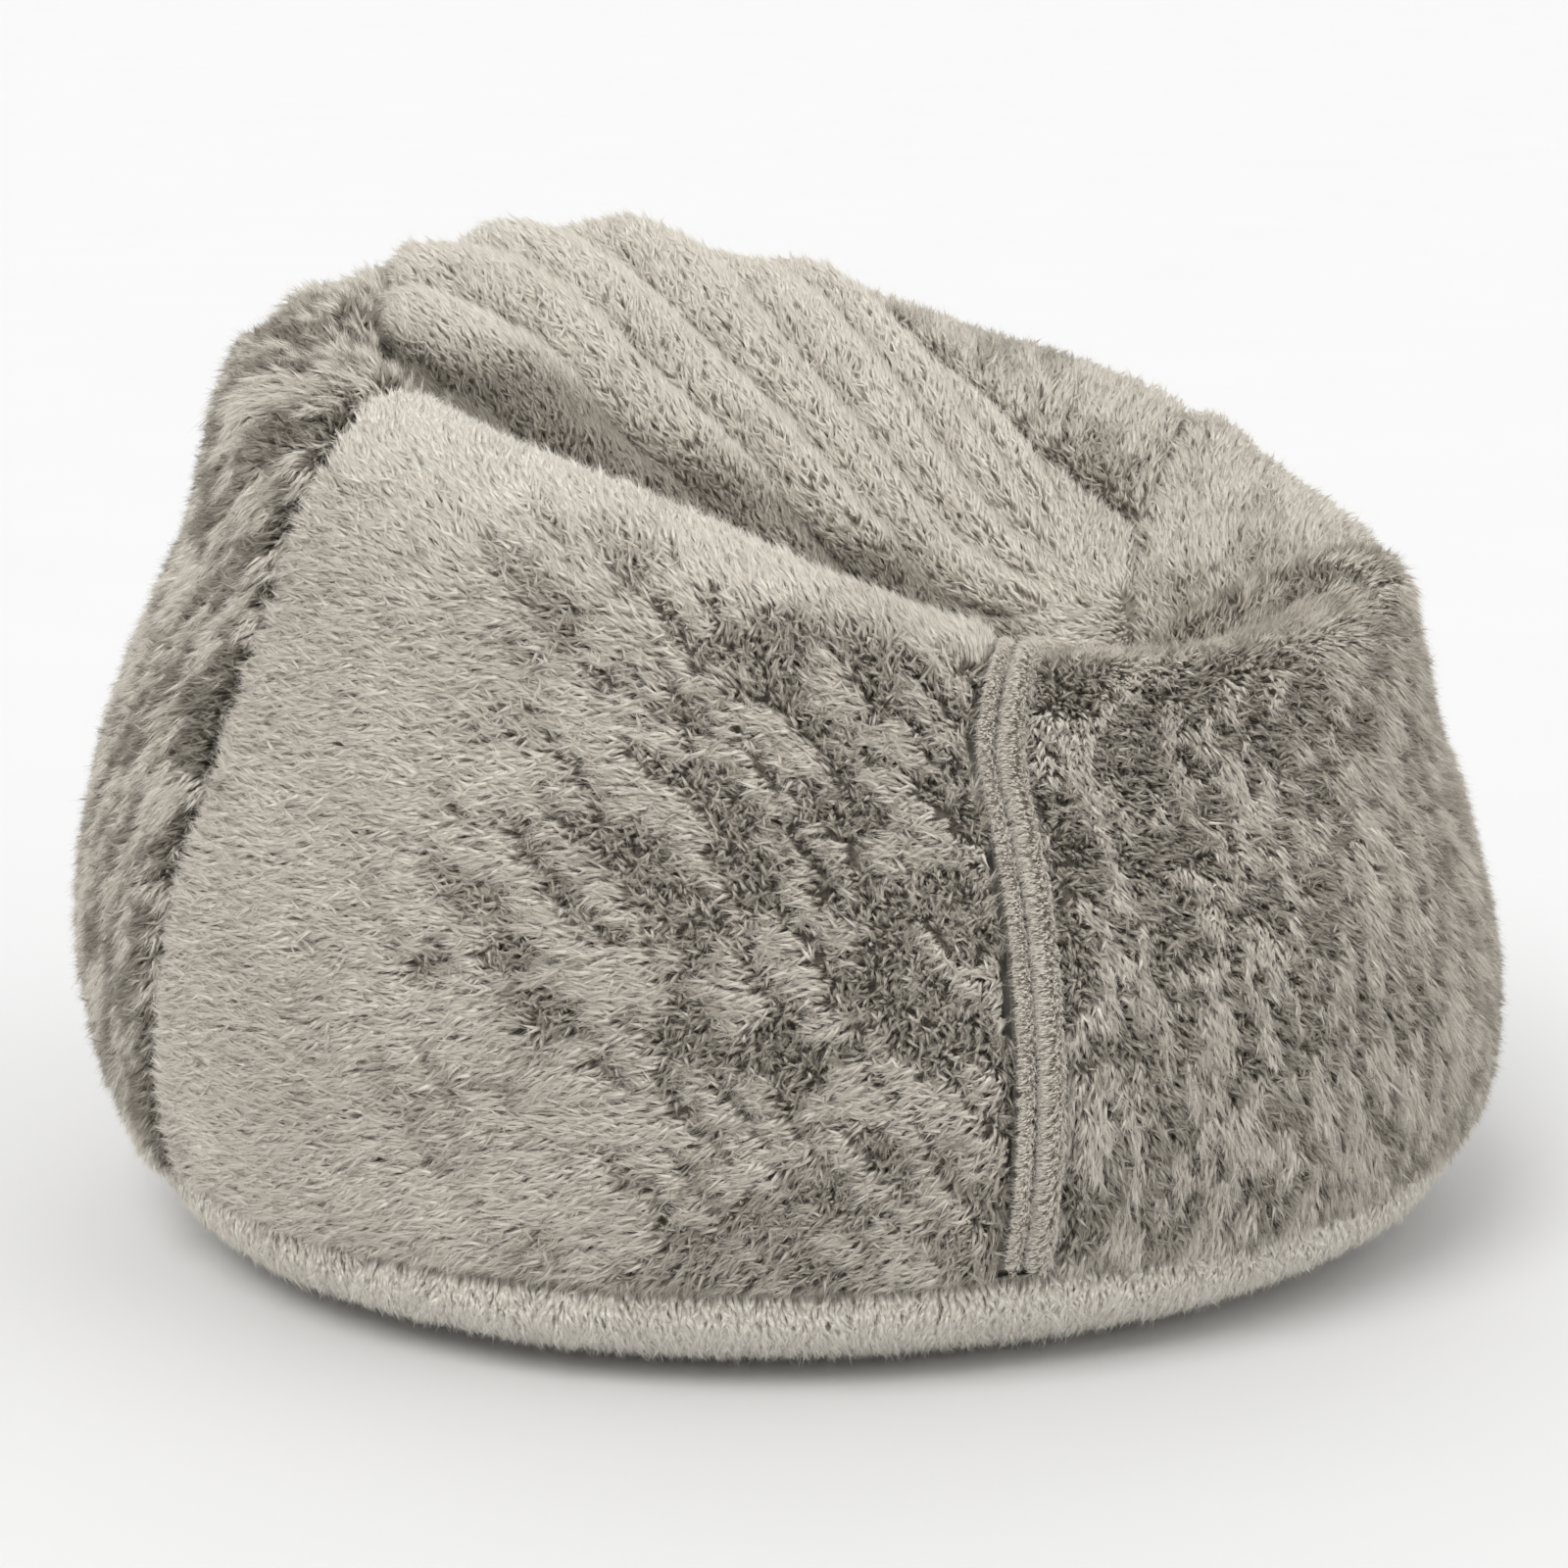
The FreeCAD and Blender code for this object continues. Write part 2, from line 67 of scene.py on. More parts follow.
SEAT_CORNER = 0.75
PLACKET_SIDES = (-0.0136, 0.0208)


def around(column, direction):
    """Smooth value of one column of the profiles at any direction."""
    values = PROFILES[:, column]
    place = (direction % 360) * len(values) / 360
    i = np.floor(place).astype(int)
    f = place - i
    a, b, c, d = (values[(i + k) % len(values)] for k in (-1, 0, 1, 2))
    return 0.5 * (2 * b + (c - a) * f + (2 * a - 5 * b + 4 * c - d) * f ** 2
                  + (3 * b - a - 3 * c + d) * f ** 3)


def hermite(p, q, start, end, f):
    """Point on the curve from p to q that leaves along start and arrives along end."""
    return (p * (2 * f ** 3 - 3 * f ** 2 + 1) + q * (3 * f ** 2 - 2 * f ** 3)
            + start * (f ** 3 - 2 * f ** 2 + f) + end * (f ** 3 - f ** 2))


def surface(direction, level):
    """Points of the bag's outer surface, for arrays of directions and levels."""
    direction, level = np.broadcast_arrays(np.asarray(direction, float), level)
    angle = np.radians(direction)
    out = np.stack((np.sin(angle), -np.cos(angle), np.zeros_like(angle)), -1)
    up = np.array((0.0, 0.0, 1.0))
    seam, shoulder, height, bulge, reach, top = (around(k, direction) for k in range(6))
    run, rise = shoulder - seam, height - BASE_SEAM_HEIGHT
    chord = np.hypot(run, rise)
    # the side is one arc through the base seam and the shoulder
    radius = (chord ** 2 / 4 + bulge ** 2) / (2 * bulge)
    across, along = rise / chord, -run / chord
    centre_r = (seam + shoulder) / 2 - (radius - bulge) * across
    centre_z = (BASE_SEAM_HEIGHT + height) / 2 - (radius - bulge) * along
    middle, half = np.arctan2(along, across), np.arcsin(chord / 2 / radius)

    def arc(a):
        return (out * (centre_r + radius * np.cos(a))[..., None]
                + up * (centre_z + radius * np.sin(a))[..., None])

    def down(a):
        return out * np.sin(a)[..., None] - up * np.cos(a)[..., None]

    crest = out * reach[..., None] + np.stack(
        (np.full_like(top, CREST_SHIFT), np.zeros_like(top), top), -1)
    f = level[..., None]
    low, foot = arc(middle - half), out * FLOOR_RADIUS
    span = 0.9 * np.linalg.norm(foot - low, axis=-1, keepdims=True)
    under = hermite(low, foot, down(middle - half) * span, -out * span, f - 3)
    side = arc(middle + half - 2 * half * (level - 2))
    high = arc(middle + half)
    span = np.linalg.norm(high - crest, axis=-1, keepdims=True)
    flat = (high - crest) * np.array((1.0, 1.0, 0.0)) + 1e-12
    flat = flat / np.linalg.norm(flat, axis=-1, keepdims=True)
    over = hermite(crest, high, flat * span, down(middle + half) * span, f - 1)
    inside = HOLLOW + (crest - HOLLOW) * f
    inside[..., 2] = HOLLOW[2] + (crest[..., 2] - HOLLOW[2]) * (1 - np.cos(np.pi * level)) / 2
    return np.where(f >= 3, under, np.where(f >= 2, side, np.where(f >= 1, over, inside)))


def to_map(direction, level):
    """Place on the flat map, where the level is the distance from its middle."""
    angle = np.radians(direction)
    return np.stack((level * np.sin(angle), -level * np.cos(angle)), -1)


def from_map(place):
    return (np.degrees(np.arctan2(place[..., 0], -place[..., 1])),
            np.hypot(place[..., 0], place[..., 1]))


def mapped(place):
    """Point of the bag's surface at a place on the map."""
    return surface(*from_map(place))


def map_normal(place, step=0.01):
    dx, dy = np.array((step, 0.0)), np.array((0.0, step))
    n = np.cross(mapped(place + dx) - mapped(place - dx), mapped(place + dy) - mapped(place - dy))
    return n / np.linalg.norm(n, axis=-1, keepdims=True)


# ---- panel sides, as tables of map positions spaced evenly by length -----------------

STEPS = 241


def even(table):
    """The same line of map positions, spaced evenly by length."""
    runs = np.concatenate(([0], np.cumsum(np.linalg.norm(np.diff(table, axis=0), axis=1))))
    f = np.linspace(0, runs[-1], STEPS)
    return np.stack([np.interp(f, runs, table[:, k]) for k in (0, 1)], -1)


def seam(points):
    """Even table of map positions along a spline through (direction, level) points."""
    points = np.array(points, float)
    count = len(points) - 1
    f = np.linspace(0, 1, STEPS) * count
    i = np.minimum(f.astype(int), count - 1)
    g = (f - i)[:, None]
    a, b, c, d = (points[np.clip(i + k, 0, count)] for k in (-1, 0, 1, 2))
    spline = 0.5 * (2 * b + (c - a) * g + (2 * a - 5 * b + 4 * c - d) * g ** 2
                    + (3 * b - a - 3 * c + d) * g ** 3)
    return even(to_map(spline[:, 0], spline[:, 1]))


def at(table, f):
    """Map positions at fractions f of a table's length."""
    f = np.asarray(f, float)
    return np.stack([np.interp(f * (STEPS - 1), np.arange(STEPS), table[:, k])
                     for k in (0, 1)], -1)


def stretch(table, start, end):
    return at(table, np.linspace(start, end, STEPS))


def placket_direction(across, level):
    """Direction that is a given distance across from the placket's middle line."""
    return across / np.linalg.norm(surface(0.5, level) - surface(-0.5, level), axis=-1)


SEAT_FRONT = seam(SEAT_FRONT_SEAM)


def placket_fraction(across):
    """Where along the seat's front seam a side of the placket meets it."""
    direction, level = from_map(SEAT_FRONT)
    beyond = direction - placket_direction(across, level)
    i = int(np.argmax(beyond > 0))
    return (i - 1 + beyond[i - 1] / (beyond[i - 1] - beyond[i])) / (STEPS - 1)


def placket_side(across):
    top = from_map(at(SEAT_FRONT, placket_fraction(across)))[1]
    level = np.linspace(3, float(top), STEPS)
    return to_map(placket_direction(across, level), level)


def base_side(first, last):
    return to_map(np.linspace(first, last, STEPS), 3.0)


def turned(points):
    return [(d + 360, level) for d, level in points]


EDGE_DIRECTION, FLAP_DIRECTION = (float(placket_direction(a, 3.0)) for a in PLACKET_SIDES)
FRONT_EDGE, FRONT_FLAP = (placket_fraction(a) for a in PLACKET_SIDES)
# bottom, top, left and right side of each panel, seen with its bottom down
SIDES = {
    "front_left": (base_side(CORNER["left"], EDGE_DIRECTION), stretch(SEAT_FRONT, 0, FRONT_EDGE),
                   seam(LEFT_SEAM), placket_side(PLACKET_SIDES[0])),
    "front_right": (base_side(FLAP_DIRECTION, CORNER["right"]), stretch(SEAT_FRONT, FRONT_FLAP, 1),
                    placket_side(PLACKET_SIDES[1]), seam(RIGHT_SEAM)),
    "right_back": (base_side(CORNER["right"], CORNER["back_right"]), seam(FORK_STEM),
                   seam(RIGHT_SEAM), seam(BACK_RIGHT_SEAM)),
    "rear": (base_side(CORNER["back_right"], CORNER["back"]), seam(SEAT_BACK_SEAM),
             seam(BACK_RIGHT_SEAM), seam(BACK_SEAM)),
    "left_back": (base_side(CORNER["back"], CORNER["left"] + 360), seam(SEAT_LEFT_SEAM),
                  seam(BACK_SEAM), seam(turned(LEFT_SEAM))),
    "seat": (stretch(SEAT_FRONT, 0, SEAT_CORNER), seam(SEAT_BACK_SEAM)[::-1],
             seam(SEAT_LEFT_SEAM)[::-1],
             even(np.vstack((stretch(SEAT_FRONT, SEAT_CORNER, 1), seam(FORK_STEM))))),
}


def patch(sides, u, v):
    """Map positions inside four sides, for a grid of u by v."""
    bottom, top, left, right = sides
    b, t = at(bottom, u)[:, None], at(top, u)[:, None]
    lo, r = at(left, v)[None], at(right, v)[None]
    uu, vv = u[:, None, None], v[None, :, None]
    return ((1 - vv) * b + vv * t + (1 - uu) * lo + uu * r
            - (bottom[0] * (1 - uu) * (1 - vv) + bottom[-1] * uu * (1 - vv)
               + top[0] * (1 - uu) * vv + top[-1] * uu * vv))


# ---- seeded noise --------------------------------------------------------------------

TABLE = np.random.default_rng(5).random(65536) * 2 - 1


def noise(points, size, seed=0):
    """Smooth noise from -1 to 1; size is the width of a blob, one number or per axis."""
    q = points / np.asarray(size) + seed * 17.31
    i = np.floor(q).astype(np.int64)
    f = q - i
    f = f * f * (3 - 2 * f)
    total = np.zeros(points.shape[:-1])
    for corner in range(8):
        bits = np.array((corner & 1, corner >> 1 & 1, corner >> 2 & 1))
        j = i + bits
        h = (j[..., 0] * 73856093 ^ j[..., 1] * 19349663 ^ j[..., 2] * 83492791) & 65535
        total += np.prod(np.where(bits, f, 1 - f), axis=-1) * TABLE[h]
    return total


def smooth(low, high, x):
    """0 at low, 1 at high, with no corners; low may be the larger one."""
    f = np.clip((x - low) / (high - low), 0, 1)
    return f * f * (3 - 2 * f)


def unit(v):
    return v / np.maximum(np.linalg.norm(v, axis=-1, keepdims=True), 1e-12)


# ---- materials -----------------------------------------------------------------------

def srgb(*rgb):
    """Linear colour with alpha from an 8-bit sRGB one."""
    return [c / 255 / 12.92 if c <= 10.3 else ((c / 255 + 0.055) / 1.055) ** 2.4 for c in rgb] + [1]


# the fur's tones, darkest first
TONES = ((104, 98, 87), (134, 127, 115), (161, 154, 142), (184, 177, 165), (204, 197, 185),
         (221, 214, 203), (235, 229, 218), (246, 241, 231))


def fur_tone(i):
    mat = bpy.data.materials.new("fur_tone_%d" % i)
    mat.use_nodes = True
    p = mat.node_tree.nodes["Principled BSDF"]
    p.inputs["Base Color"].default_value = srgb(*TONES[i])
    p.inputs["Roughness"].default_value = 0.62
    p.inputs["Specular IOR Level"].default_value = 0.28
    p.inputs["Sheen Weight"].default_value = 0.25
    p.inputs["Sheen Roughness"].default_value = 0.4
    p.inputs["Sheen Tint"].default_value = srgb(225, 218, 206)
    return mat


FUR = [fur_tone(i) for i in range(len(TONES))]


def textured(name, dark, light, scale, roughness, bump, texture="NOISE", sheen=0.2, metallic=0.0):
    """Procedural material: two colours mixed by a fine texture that also drives its bump."""
    mat = bpy.data.materials.new(name)
    mat.use_nodes = True
    tree = mat.node_tree
    p = tree.nodes["Principled BSDF"]
    coords = tree.nodes.new("ShaderNodeTexCoord")
    if texture == "WEAVE":
        waves = []
        for axis in ("X", "Y", "Z"):
            wave = tree.nodes.new("ShaderNodeTexWave")
            wave.bands_direction = axis
            wave.inputs["Scale"].default_value = scale
            wave.inputs["Distortion"].default_value = 0.6
            tree.links.new(coords.outputs["Object"], wave.inputs["Vector"])
            waves.append(wave.outputs["Fac"])
        low = tree.nodes.new("ShaderNodeMath")
        low.operation = "MAXIMUM"
        tree.links.new(waves[0], low.inputs[0])
        tree.links.new(waves[1], low.inputs[1])
        high = tree.nodes.new("ShaderNodeMath")
        high.operation = "MULTIPLY"
        tree.links.new(low.outputs[0], high.inputs[0])
        tree.links.new(waves[2], high.inputs[1])
        fac = high.outputs[0]
    elif texture == "BEADS":
        node = tree.nodes.new("ShaderNodeTexVoronoi")
        node.inputs["Scale"].default_value = scale
        tree.links.new(coords.outputs["Object"], node.inputs["Vector"])
        fac = node.outputs["Distance"]
    else:
        node = tree.nodes.new("ShaderNodeTexNoise")
        node.inputs["Scale"].default_value = scale
        node.inputs["Detail"].default_value = 4
        tree.links.new(coords.outputs["Object"], node.inputs["Vector"])
        fac = node.outputs["Fac"]
    ramp = tree.nodes.new("ShaderNodeValToRGB")
    for mark, place, rgb in zip(ramp.color_ramp.elements, (0.3, 0.7), (dark, light)):
        mark.position = place
        mark.color = srgb(*rgb)
    tree.links.new(fac, ramp.inputs["Fac"])
    tree.links.new(ramp.outputs["Color"], p.inputs["Base Color"])
    bumps = tree.nodes.new("ShaderNodeBump")
    bumps.inputs["Distance"].default_value = bump
    bumps.inputs["Strength"].default_value = 0.6
    tree.links.new(fac, bumps.inputs["Height"])
    tree.links.new(bumps.outputs["Normal"], p.inputs["Normal"])
    p.inputs["Roughness"].default_value = roughness
    p.inputs["Metallic"].default_value = metallic
    p.inputs["Sheen Weight"].default_value = sheen
    return mat


BACKING = textured("fur_backing", (92, 84, 73), (138, 130, 119), 420, 0.9, 0.0008)
PALE_BACKING = textured("fur_backing_pale", (138, 130, 119), (176, 168, 156), 420, 0.9, 0.0008)

# ---- mesh helpers --------------------------------------------------------------------


def new_piece(name, points, faces, materials, indices=None):
    """Mesh object from arrays; every face has the same number of corners."""
    mesh = bpy.data.meshes.new(name)
    corners = faces.shape[1]
    mesh.vertices.add(len(points))
    mesh.vertices.foreach_set("co", np.ascontiguousarray(points, np.float32).ravel())
    mesh.loops.add(faces.size)
    mesh.loops.foreach_set("vertex_index", np.ascontiguousarray(faces, np.int32).ravel())
    mesh.polygons.add(len(faces))
    mesh.polygons.foreach_set("loop_start", np.arange(0, faces.size, corners, dtype=np.int32))
    for mat in materials:
        mesh.materials.append(mat)
    if indices is not None:
        mesh.polygons.foreach_set("material_index", np.ascontiguousarray(indices, np.int32))
    mesh.polygons.foreach_set("use_smooth", np.ones(len(faces), bool))
    mesh.update(calc_edges=True)
    piece = bpy.data.objects.new(name, mesh)
    bpy.context.scene.collection.objects.link(piece)
    return piece


def shell_faces(nu, nv):
    """Quads of a closed shell: an outer grid, an inner grid and the four edges."""
    i, j = np.meshgrid(np.arange(nu - 1), np.arange(nv - 1), indexing="ij")
    a = (i * nv + j).ravel()
    outer = np.stack((a, a + nv, a + nv + 1, a + 1), -1)
    count = nu * nv
    inner = outer[:, ::-1] + count
    loop = np.concatenate((np.arange(nu) * nv, (nu - 1) * nv + np.arange(1, nv),
                           np.arange(nu - 2, -1, -1) * nv + nv - 1, np.arange(nv - 2, 0, -1)))
    after = np.roll(loop, -1)
    edge = np.stack((after, loop, loop + count, after + count), -1)
    return np.vstack((outer, inner, edge))


# ---- relief: how far the backing stands out of its usual depth -----------------------

BACK_DEPTH, BACK_THICK = 0.0105, 0.0015
FAN = np.array((0.50, 0.12))            # the seat's pleats fan out from here, on the map
PLEATS = (178, 167, 154.5, 142, 129, 115, 101, 88)      # their valleys, as angles at FAN
PLEAT_HEIGHT = 0.042
# the shadowed fold between the front crest and the first pleat, as (reach, angle) at FAN
FRONT_FOLD = ((0.30, 147), (0.52, 150), (0.73, 159), (0.93, 170), (1.09, 177), (1.30, 187))
SEAM_DIP, SEAM_REACH = 0.0080, 0.009


def runs(points, axis):
    """Distance from the first and from the last row of a grid, along one axis."""
    steps = np.linalg.norm(np.diff(points, axis=axis), axis=-1)
    pad = [(0, 0), (0, 0)]
    pad[axis] = (1, 0)
    total = np.cumsum(np.pad(steps, pad), axis=axis)
    return total, np.take(total, [-1], axis=axis) - total


def near(distance, reach):
    """1 at no distance, falling to 0 over about twice the reach."""
    return np.exp(-(distance / reach) ** 2)


def pleats(place):
    """Height of the seat's soft pleats, which fan out from the right of the hollow."""
    offset = place - FAN
    angle = np.degrees(np.arctan2(offset[..., 1], offset[..., 0]))
    wander = 2.5 * noise(np.concatenate((place, place[..., :1] * 0), -1), 0.22, 3)
    phase = np.interp(angle + wander, sorted(PLEATS), np.arange(len(PLEATS)))
    wave = np.abs(np.sin(np.pi * phase)) ** 0.62
    reach = np.hypot(offset[..., 0], offset[..., 1])
    inside = (smooth(PLEATS[-1] - 6, PLEATS[-1] + 3, angle)
              * smooth(PLEATS[0] + 5, PLEATS[0] - 3, angle))
    fade = smooth(0.10, 0.40, reach) * (1 - 0.55 * smooth(0.92, 1.15, from_map(place)[1]))
    return (wave - 0.60) * PLEAT_HEIGHT * fade * inside


def front_fold(place):
    """1 in the fold behind the front crest, 0 elsewhere."""
    offset = place - FAN
    angle = np.degrees(np.arctan2(offset[..., 1], offset[..., 0])) % 360
    reach = np.hypot(offset[..., 0], offset[..., 1])
    past = angle - np.interp(reach, *zip(*FRONT_FOLD)) + 1 + 7 * reach
    return smooth(-2, 3, past) * smooth(26, 14, past) * smooth(0.15, 0.35, reach)


def aside(direction, middle):
    """Degrees from a middle direction, from -180 to 180."""
    return (direction - middle + 180) % 360 - 180


# bulges and dents of the whole bag: height, direction, half width, level, half height
SLUMP = (
    (0.008, 192, 7, 1.05, 0.22),        # the rim's left hump
    (-0.021, 177.5, 6, 1.05, 0.22),     # the notch beside it
    (0.004, 166.5, 5, 1.05, 0.22),      # the rim's right hump
    (0.007, 126, 12, 1.05, 0.22),       # the right shoulder
    (0.010, 259, 22, 1.36, 0.34),       # the left shoulder
    (-0.006, 262, 28, 2.15, 0.26),      # the waist under it
    (0.005, 258, 32, 2.60, 0.26),       # the left belly
    (-0.012, 264, 34, 3.12, 0.22),      # the tuck over the base seam at the left
    (0.009, 75, 32, 2.72, 0.28),        # the right belly
)


def slump(direction, level):
    """How far the slouched bag stands out of its plain surface."""
    return sum(height * near(aside(direction, middle), width) * near(level - row, reach)
               for height, middle, width, row, reach in SLUMP)


def relief(name, place, points, left, right, bottom, top):
    """Height of a panel's backing, with the distance to each of its four sides known."""
    direction, level = from_map(place)
    lump = 0.0028 * noise(points, 0.11, 1) + 0.0016 * noise(points, 0.05, 2)
    out = lump - SEAM_DIP * sum(near(d, SEAM_REACH) for d in (left, right, bottom, top))
    out = out + slump(direction, level)
    if name == "left_back":
        flat_place = np.stack((left, bottom, left * 0), -1)
        fold = noise(flat_place, (0.075, 0.021, 1.0), 6)
        out = out + 0.011 * fold * near(top, 0.14)
    if name == "seat":
        flat_edge = smooth(0.0, 0.03, np.minimum(left, bottom)) * smooth(0.0, 0.045, top)
        out = out + pleats(place) * flat_edge
        out = out - 0.014 * near(bottom - 0.014, 0.022) * smooth(0.66, 0.5, left / (left + right))
        out = np.maximum(out - 0.012 * front_fold(place), -0.027)
    if name == "front_left":
        out = out + 0.006 * near(top - 0.035, 0.035)
    if name == "front_right":
        fold = 1 - smooth(1.0, 1.5, level)
        out = out + fold * (0.016 * near(right - 0.06, 0.04) - 0.014 * near(right, 0.022))
    if name == "right_back":
        fold = 1 - smooth(1.0, 1.5, level)
        out = out - fold * 0.016 * near(left, 0.03)
        out = out + 0.014 * near(right - 0.03, 0.05) * near(level - 1.0, 0.22)
    if name == "rear":
        out = out + 0.010 * near(left - 0.02, 0.05) * near(level - 1.0, 0.2)
    return out


# ---- fur -------------------------------------------------------------------------------

def grid_normals(points):
    """Normals of a grid of points; their sign follows the grid's order."""
    n = np.cross(np.gradient(points, axis=0), np.gradient(points, axis=1))
    return unit(n)


def scatter(points, spacing, rng):
    """Random cells and places in them, even by area, on a grid of points."""
    a = np.linalg.norm(np.cross(points[1:, :-1] - points[:-1, :-1],
                                points[:-1, 1:] - points[:-1, :-1]), axis=-1)
    b = np.linalg.norm(np.cross(points[1:, :-1] - points[1:, 1:],
                                points[:-1, 1:] - points[1:, 1:]), axis=-1)
    area = (a + b).ravel() / 2
    count = int(area.sum() / spacing ** 2)
    places = (np.arange(count) + rng.random(count)) / count
    cell = np.searchsorted(np.cumsum(area) / area.sum(), places)
    cell = np.minimum(cell, len(area) - 1)
    i, j = np.divmod(cell, points.shape[1] - 1)
    return i, j, rng.random(count), rng.random(count)


def blend_grid(grid, i, j, f, g):
    """Values at places f, g of the cells i, j of a grid."""
    f, g = f[:, None], g[:, None]
    return (grid[i, j] * (1 - f) * (1 - g) + grid[i + 1, j] * f * (1 - g)
            + grid[i, j + 1] * (1 - f) * g + grid[i + 1, j + 1] * f * g)


def rotate(v, axis, angle):
    """Vectors turned about axes that are square to them."""
    c, s = np.cos(angle)[:, None], np.sin(angle)[:, None]
    return v * c + np.cross(axis, v) * s


def locks(roots, normals, comb, lean, length, width, bend, rng, floor=None):
    """Points and triangles of closed locks: a three-sided root, a fuller middle, one tip."""
    count = len(roots)
    side = unit(np.cross(normals, comb))
    first = normals * np.cos(lean * 0.6)[:, None] + comb * np.sin(lean * 0.6)[:, None]
    ahead = rotate(comb, normals, bend)
    second = normals * np.cos(lean * 1.12)[:, None] + ahead * np.sin(lean * 1.12)[:, None]
    middle = roots + first * (0.45 * length)[:, None]
    tip = middle + second * (0.55 * length)[:, None]
    rings = []
    turn = rng.random(count) * 2 * np.pi
    for centre, along, share in ((roots - normals * 0.0012, first, 0.8), (middle, second, 1.0)):
        over = unit(np.cross(along, side))
        for k in range(3):
            a = turn + k * 2 * np.pi / 3
            rings.append(centre + (side * np.cos(a)[:, None] * 1.25 + over * np.sin(a)[:, None] * 0.8)
                         * (width / 2 * share)[:, None])
    points = np.stack(rings + [tip], 1)
    if floor is not None:
        points[..., 2] = np.maximum(points[..., 2], floor)
    faces = [(0, 2, 1)]
    for k in range(3):
        n = (k + 1) % 3
        faces += [(k, n, 3 + n), (k, 3 + n, 3 + k), (3 + k, 3 + n, 6)]
    faces = np.array(faces)
    return points, faces


def fuzz_material():
    """Single hairs: darker at the root, coloured by the tone of the lock they belong to."""
    mat = bpy.data.materials.new("fur_fuzz")
    mat.use_nodes = True
    tree = mat.node_tree
    p = tree.nodes["Principled BSDF"]
    tone = tree.nodes.new("ShaderNodeAttribute")
    tone.attribute_name = "tone"
    hair = tree.nodes.new("ShaderNodeHairInfo")
    rise = tree.nodes.new("ShaderNodeMath")
    rise.operation = "MULTIPLY_ADD"
    rise.inputs[1].default_value = 0.24
    tree.links.new(hair.outputs["Intercept"], rise.inputs[0])
    tree.links.new(tone.outputs["Fac"], rise.inputs[2])
    ramp = tree.nodes.new("ShaderNodeValToRGB")
    marks = ramp.color_ramp.elements
    while len(marks) < len(TONES):
        marks.new(0.5)
    for k, rgb in enumerate(TONES):
        marks[k].position = k / (len(TONES) - 1)
        marks[k].color = srgb(*rgb)
    tree.links.new(rise.outputs[0], ramp.inputs["Fac"])
    tree.links.new(ramp.outputs["Color"], p.inputs["Base Color"])
    p.inputs["Roughness"].default_value = 0.55
    p.inputs["Specular IOR Level"].default_value = 0.3
    return mat


FUZZ = fuzz_material()
HAIRS_PER_LOCK = 5
HAIR_PLACES = (0.0, 0.36, 0.7, 1.0)     # of a hair's four points, from root to tip
HAIR_RADII = np.array((15e-5, 13e-5, 9e-5, 3e-5), np.float32)


def add_fuzz(name, roots, middle, tip, normals, tone, rng, floor):
    """Fine loose hairs round each lock, for the look of the pile between the locks."""
    every = np.repeat(np.arange(len(roots)), HAIRS_PER_LOCK)
    count = len(every)
    spread = rng.normal(0, 1, (count, 3))
    spread -= normals[every] * (spread * normals[every]).sum(-1, keepdims=True)
    start = roots[every] + spread * 0.0013 - normals[every] * 0.0005
    stray = rng.normal(0, 1, (count, 3))
    half_way = middle[every] + spread * 0.0011 + stray * 0.0004
    end = tip[every] + spread * 0.0009 + rng.normal(0, 1, (count, 3)) * 0.0015
    end = start + (end - start) * (0.9 + 0.28 * rng.random(count))[:, None]
    points = np.empty((count, 4, 3), np.float32)
    for k, f in enumerate(HAIR_PLACES):
        points[:, k] = (start * (2 * (f - 0.5) * (f - 1)) + half_way * (4 * f * (1 - f))
                        + end * (2 * f * (f - 0.5)))
    if floor is not None:
        points[..., 2] = np.maximum(points[..., 2], floor)
    curves = bpy.data.hair_curves.new(name + "_fuzz")
    curves.add_curves([4] * count)
    curves.position_data.foreach_set("vector", points.ravel())
    radius = curves.attributes.get("radius") or curves.attributes.new("radius", "FLOAT", "POINT")
    radius.data.foreach_set("value", np.tile(HAIR_RADII, count))
    shade = curves.attributes.new("tone", "FLOAT", "CURVE")
    # each hair takes its lock's tone, painted shade and light included, a little darker and varied at
    # random
    value = (tone[every] - 0.9 + 0.5 * rng.normal(0, 1, count)) / (len(TONES) - 1)
    shade.data.foreach_set("value", value.astype(np.float32))
    curves.materials.append(FUZZ)
    hairs = bpy.data.objects.new(name + "_fuzz", curves)
    bpy.context.scene.collection.objects.link(hairs)
    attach(hairs, "bag")


LOCKS_PER_PIECE = 19000         # ten triangles each


def fur_pieces(name, roots, normals, comb, tone, lean, length, width, bend, rng, floor=None):
    """Fur of one panel, split so that no piece has too many triangles, riding on the bag."""
    points, pattern = locks(roots, normals, comb, lean, length, width, bend, rng, floor)
    add_fuzz(name, roots, points[:, 3:6].mean(1), points[:, 6], normals, tone, rng, floor)
    parts = int(math.ceil(len(roots) / LOCKS_PER_PIECE))
    # a lock's tone carries any painted shade and light of its panel
    tip_tone = np.clip(np.round(tone), 0, len(FUR) - 1).astype(int)
    low_tone = np.clip(tip_tone - 1 - (rng.random(len(roots)) < 0.3), 0, len(FUR) - 1)
    is_tip = (pattern == 6).any(1)
    for k in range(parts):
        chosen = slice(k * len(roots) // parts, (k + 1) * len(roots) // parts)
        p = points[chosen]
        faces = (pattern[None] + 7 * np.arange(len(p))[:, None, None]).reshape(-1, 3)
        indices = np.where(is_tip[None], tip_tone[chosen][:, None], low_tone[chosen][:, None]).ravel()
        used = sorted(set(indices.tolist()))
        lookup = np.zeros(len(FUR), int)
        lookup[used] = np.arange(len(used))
        piece = new_piece("%s_fur_%d" % (name, k + 1), p.reshape(-1, 3), faces,
                          [FUR[i] for i in used], lookup[indices])
        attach(piece, "bag")
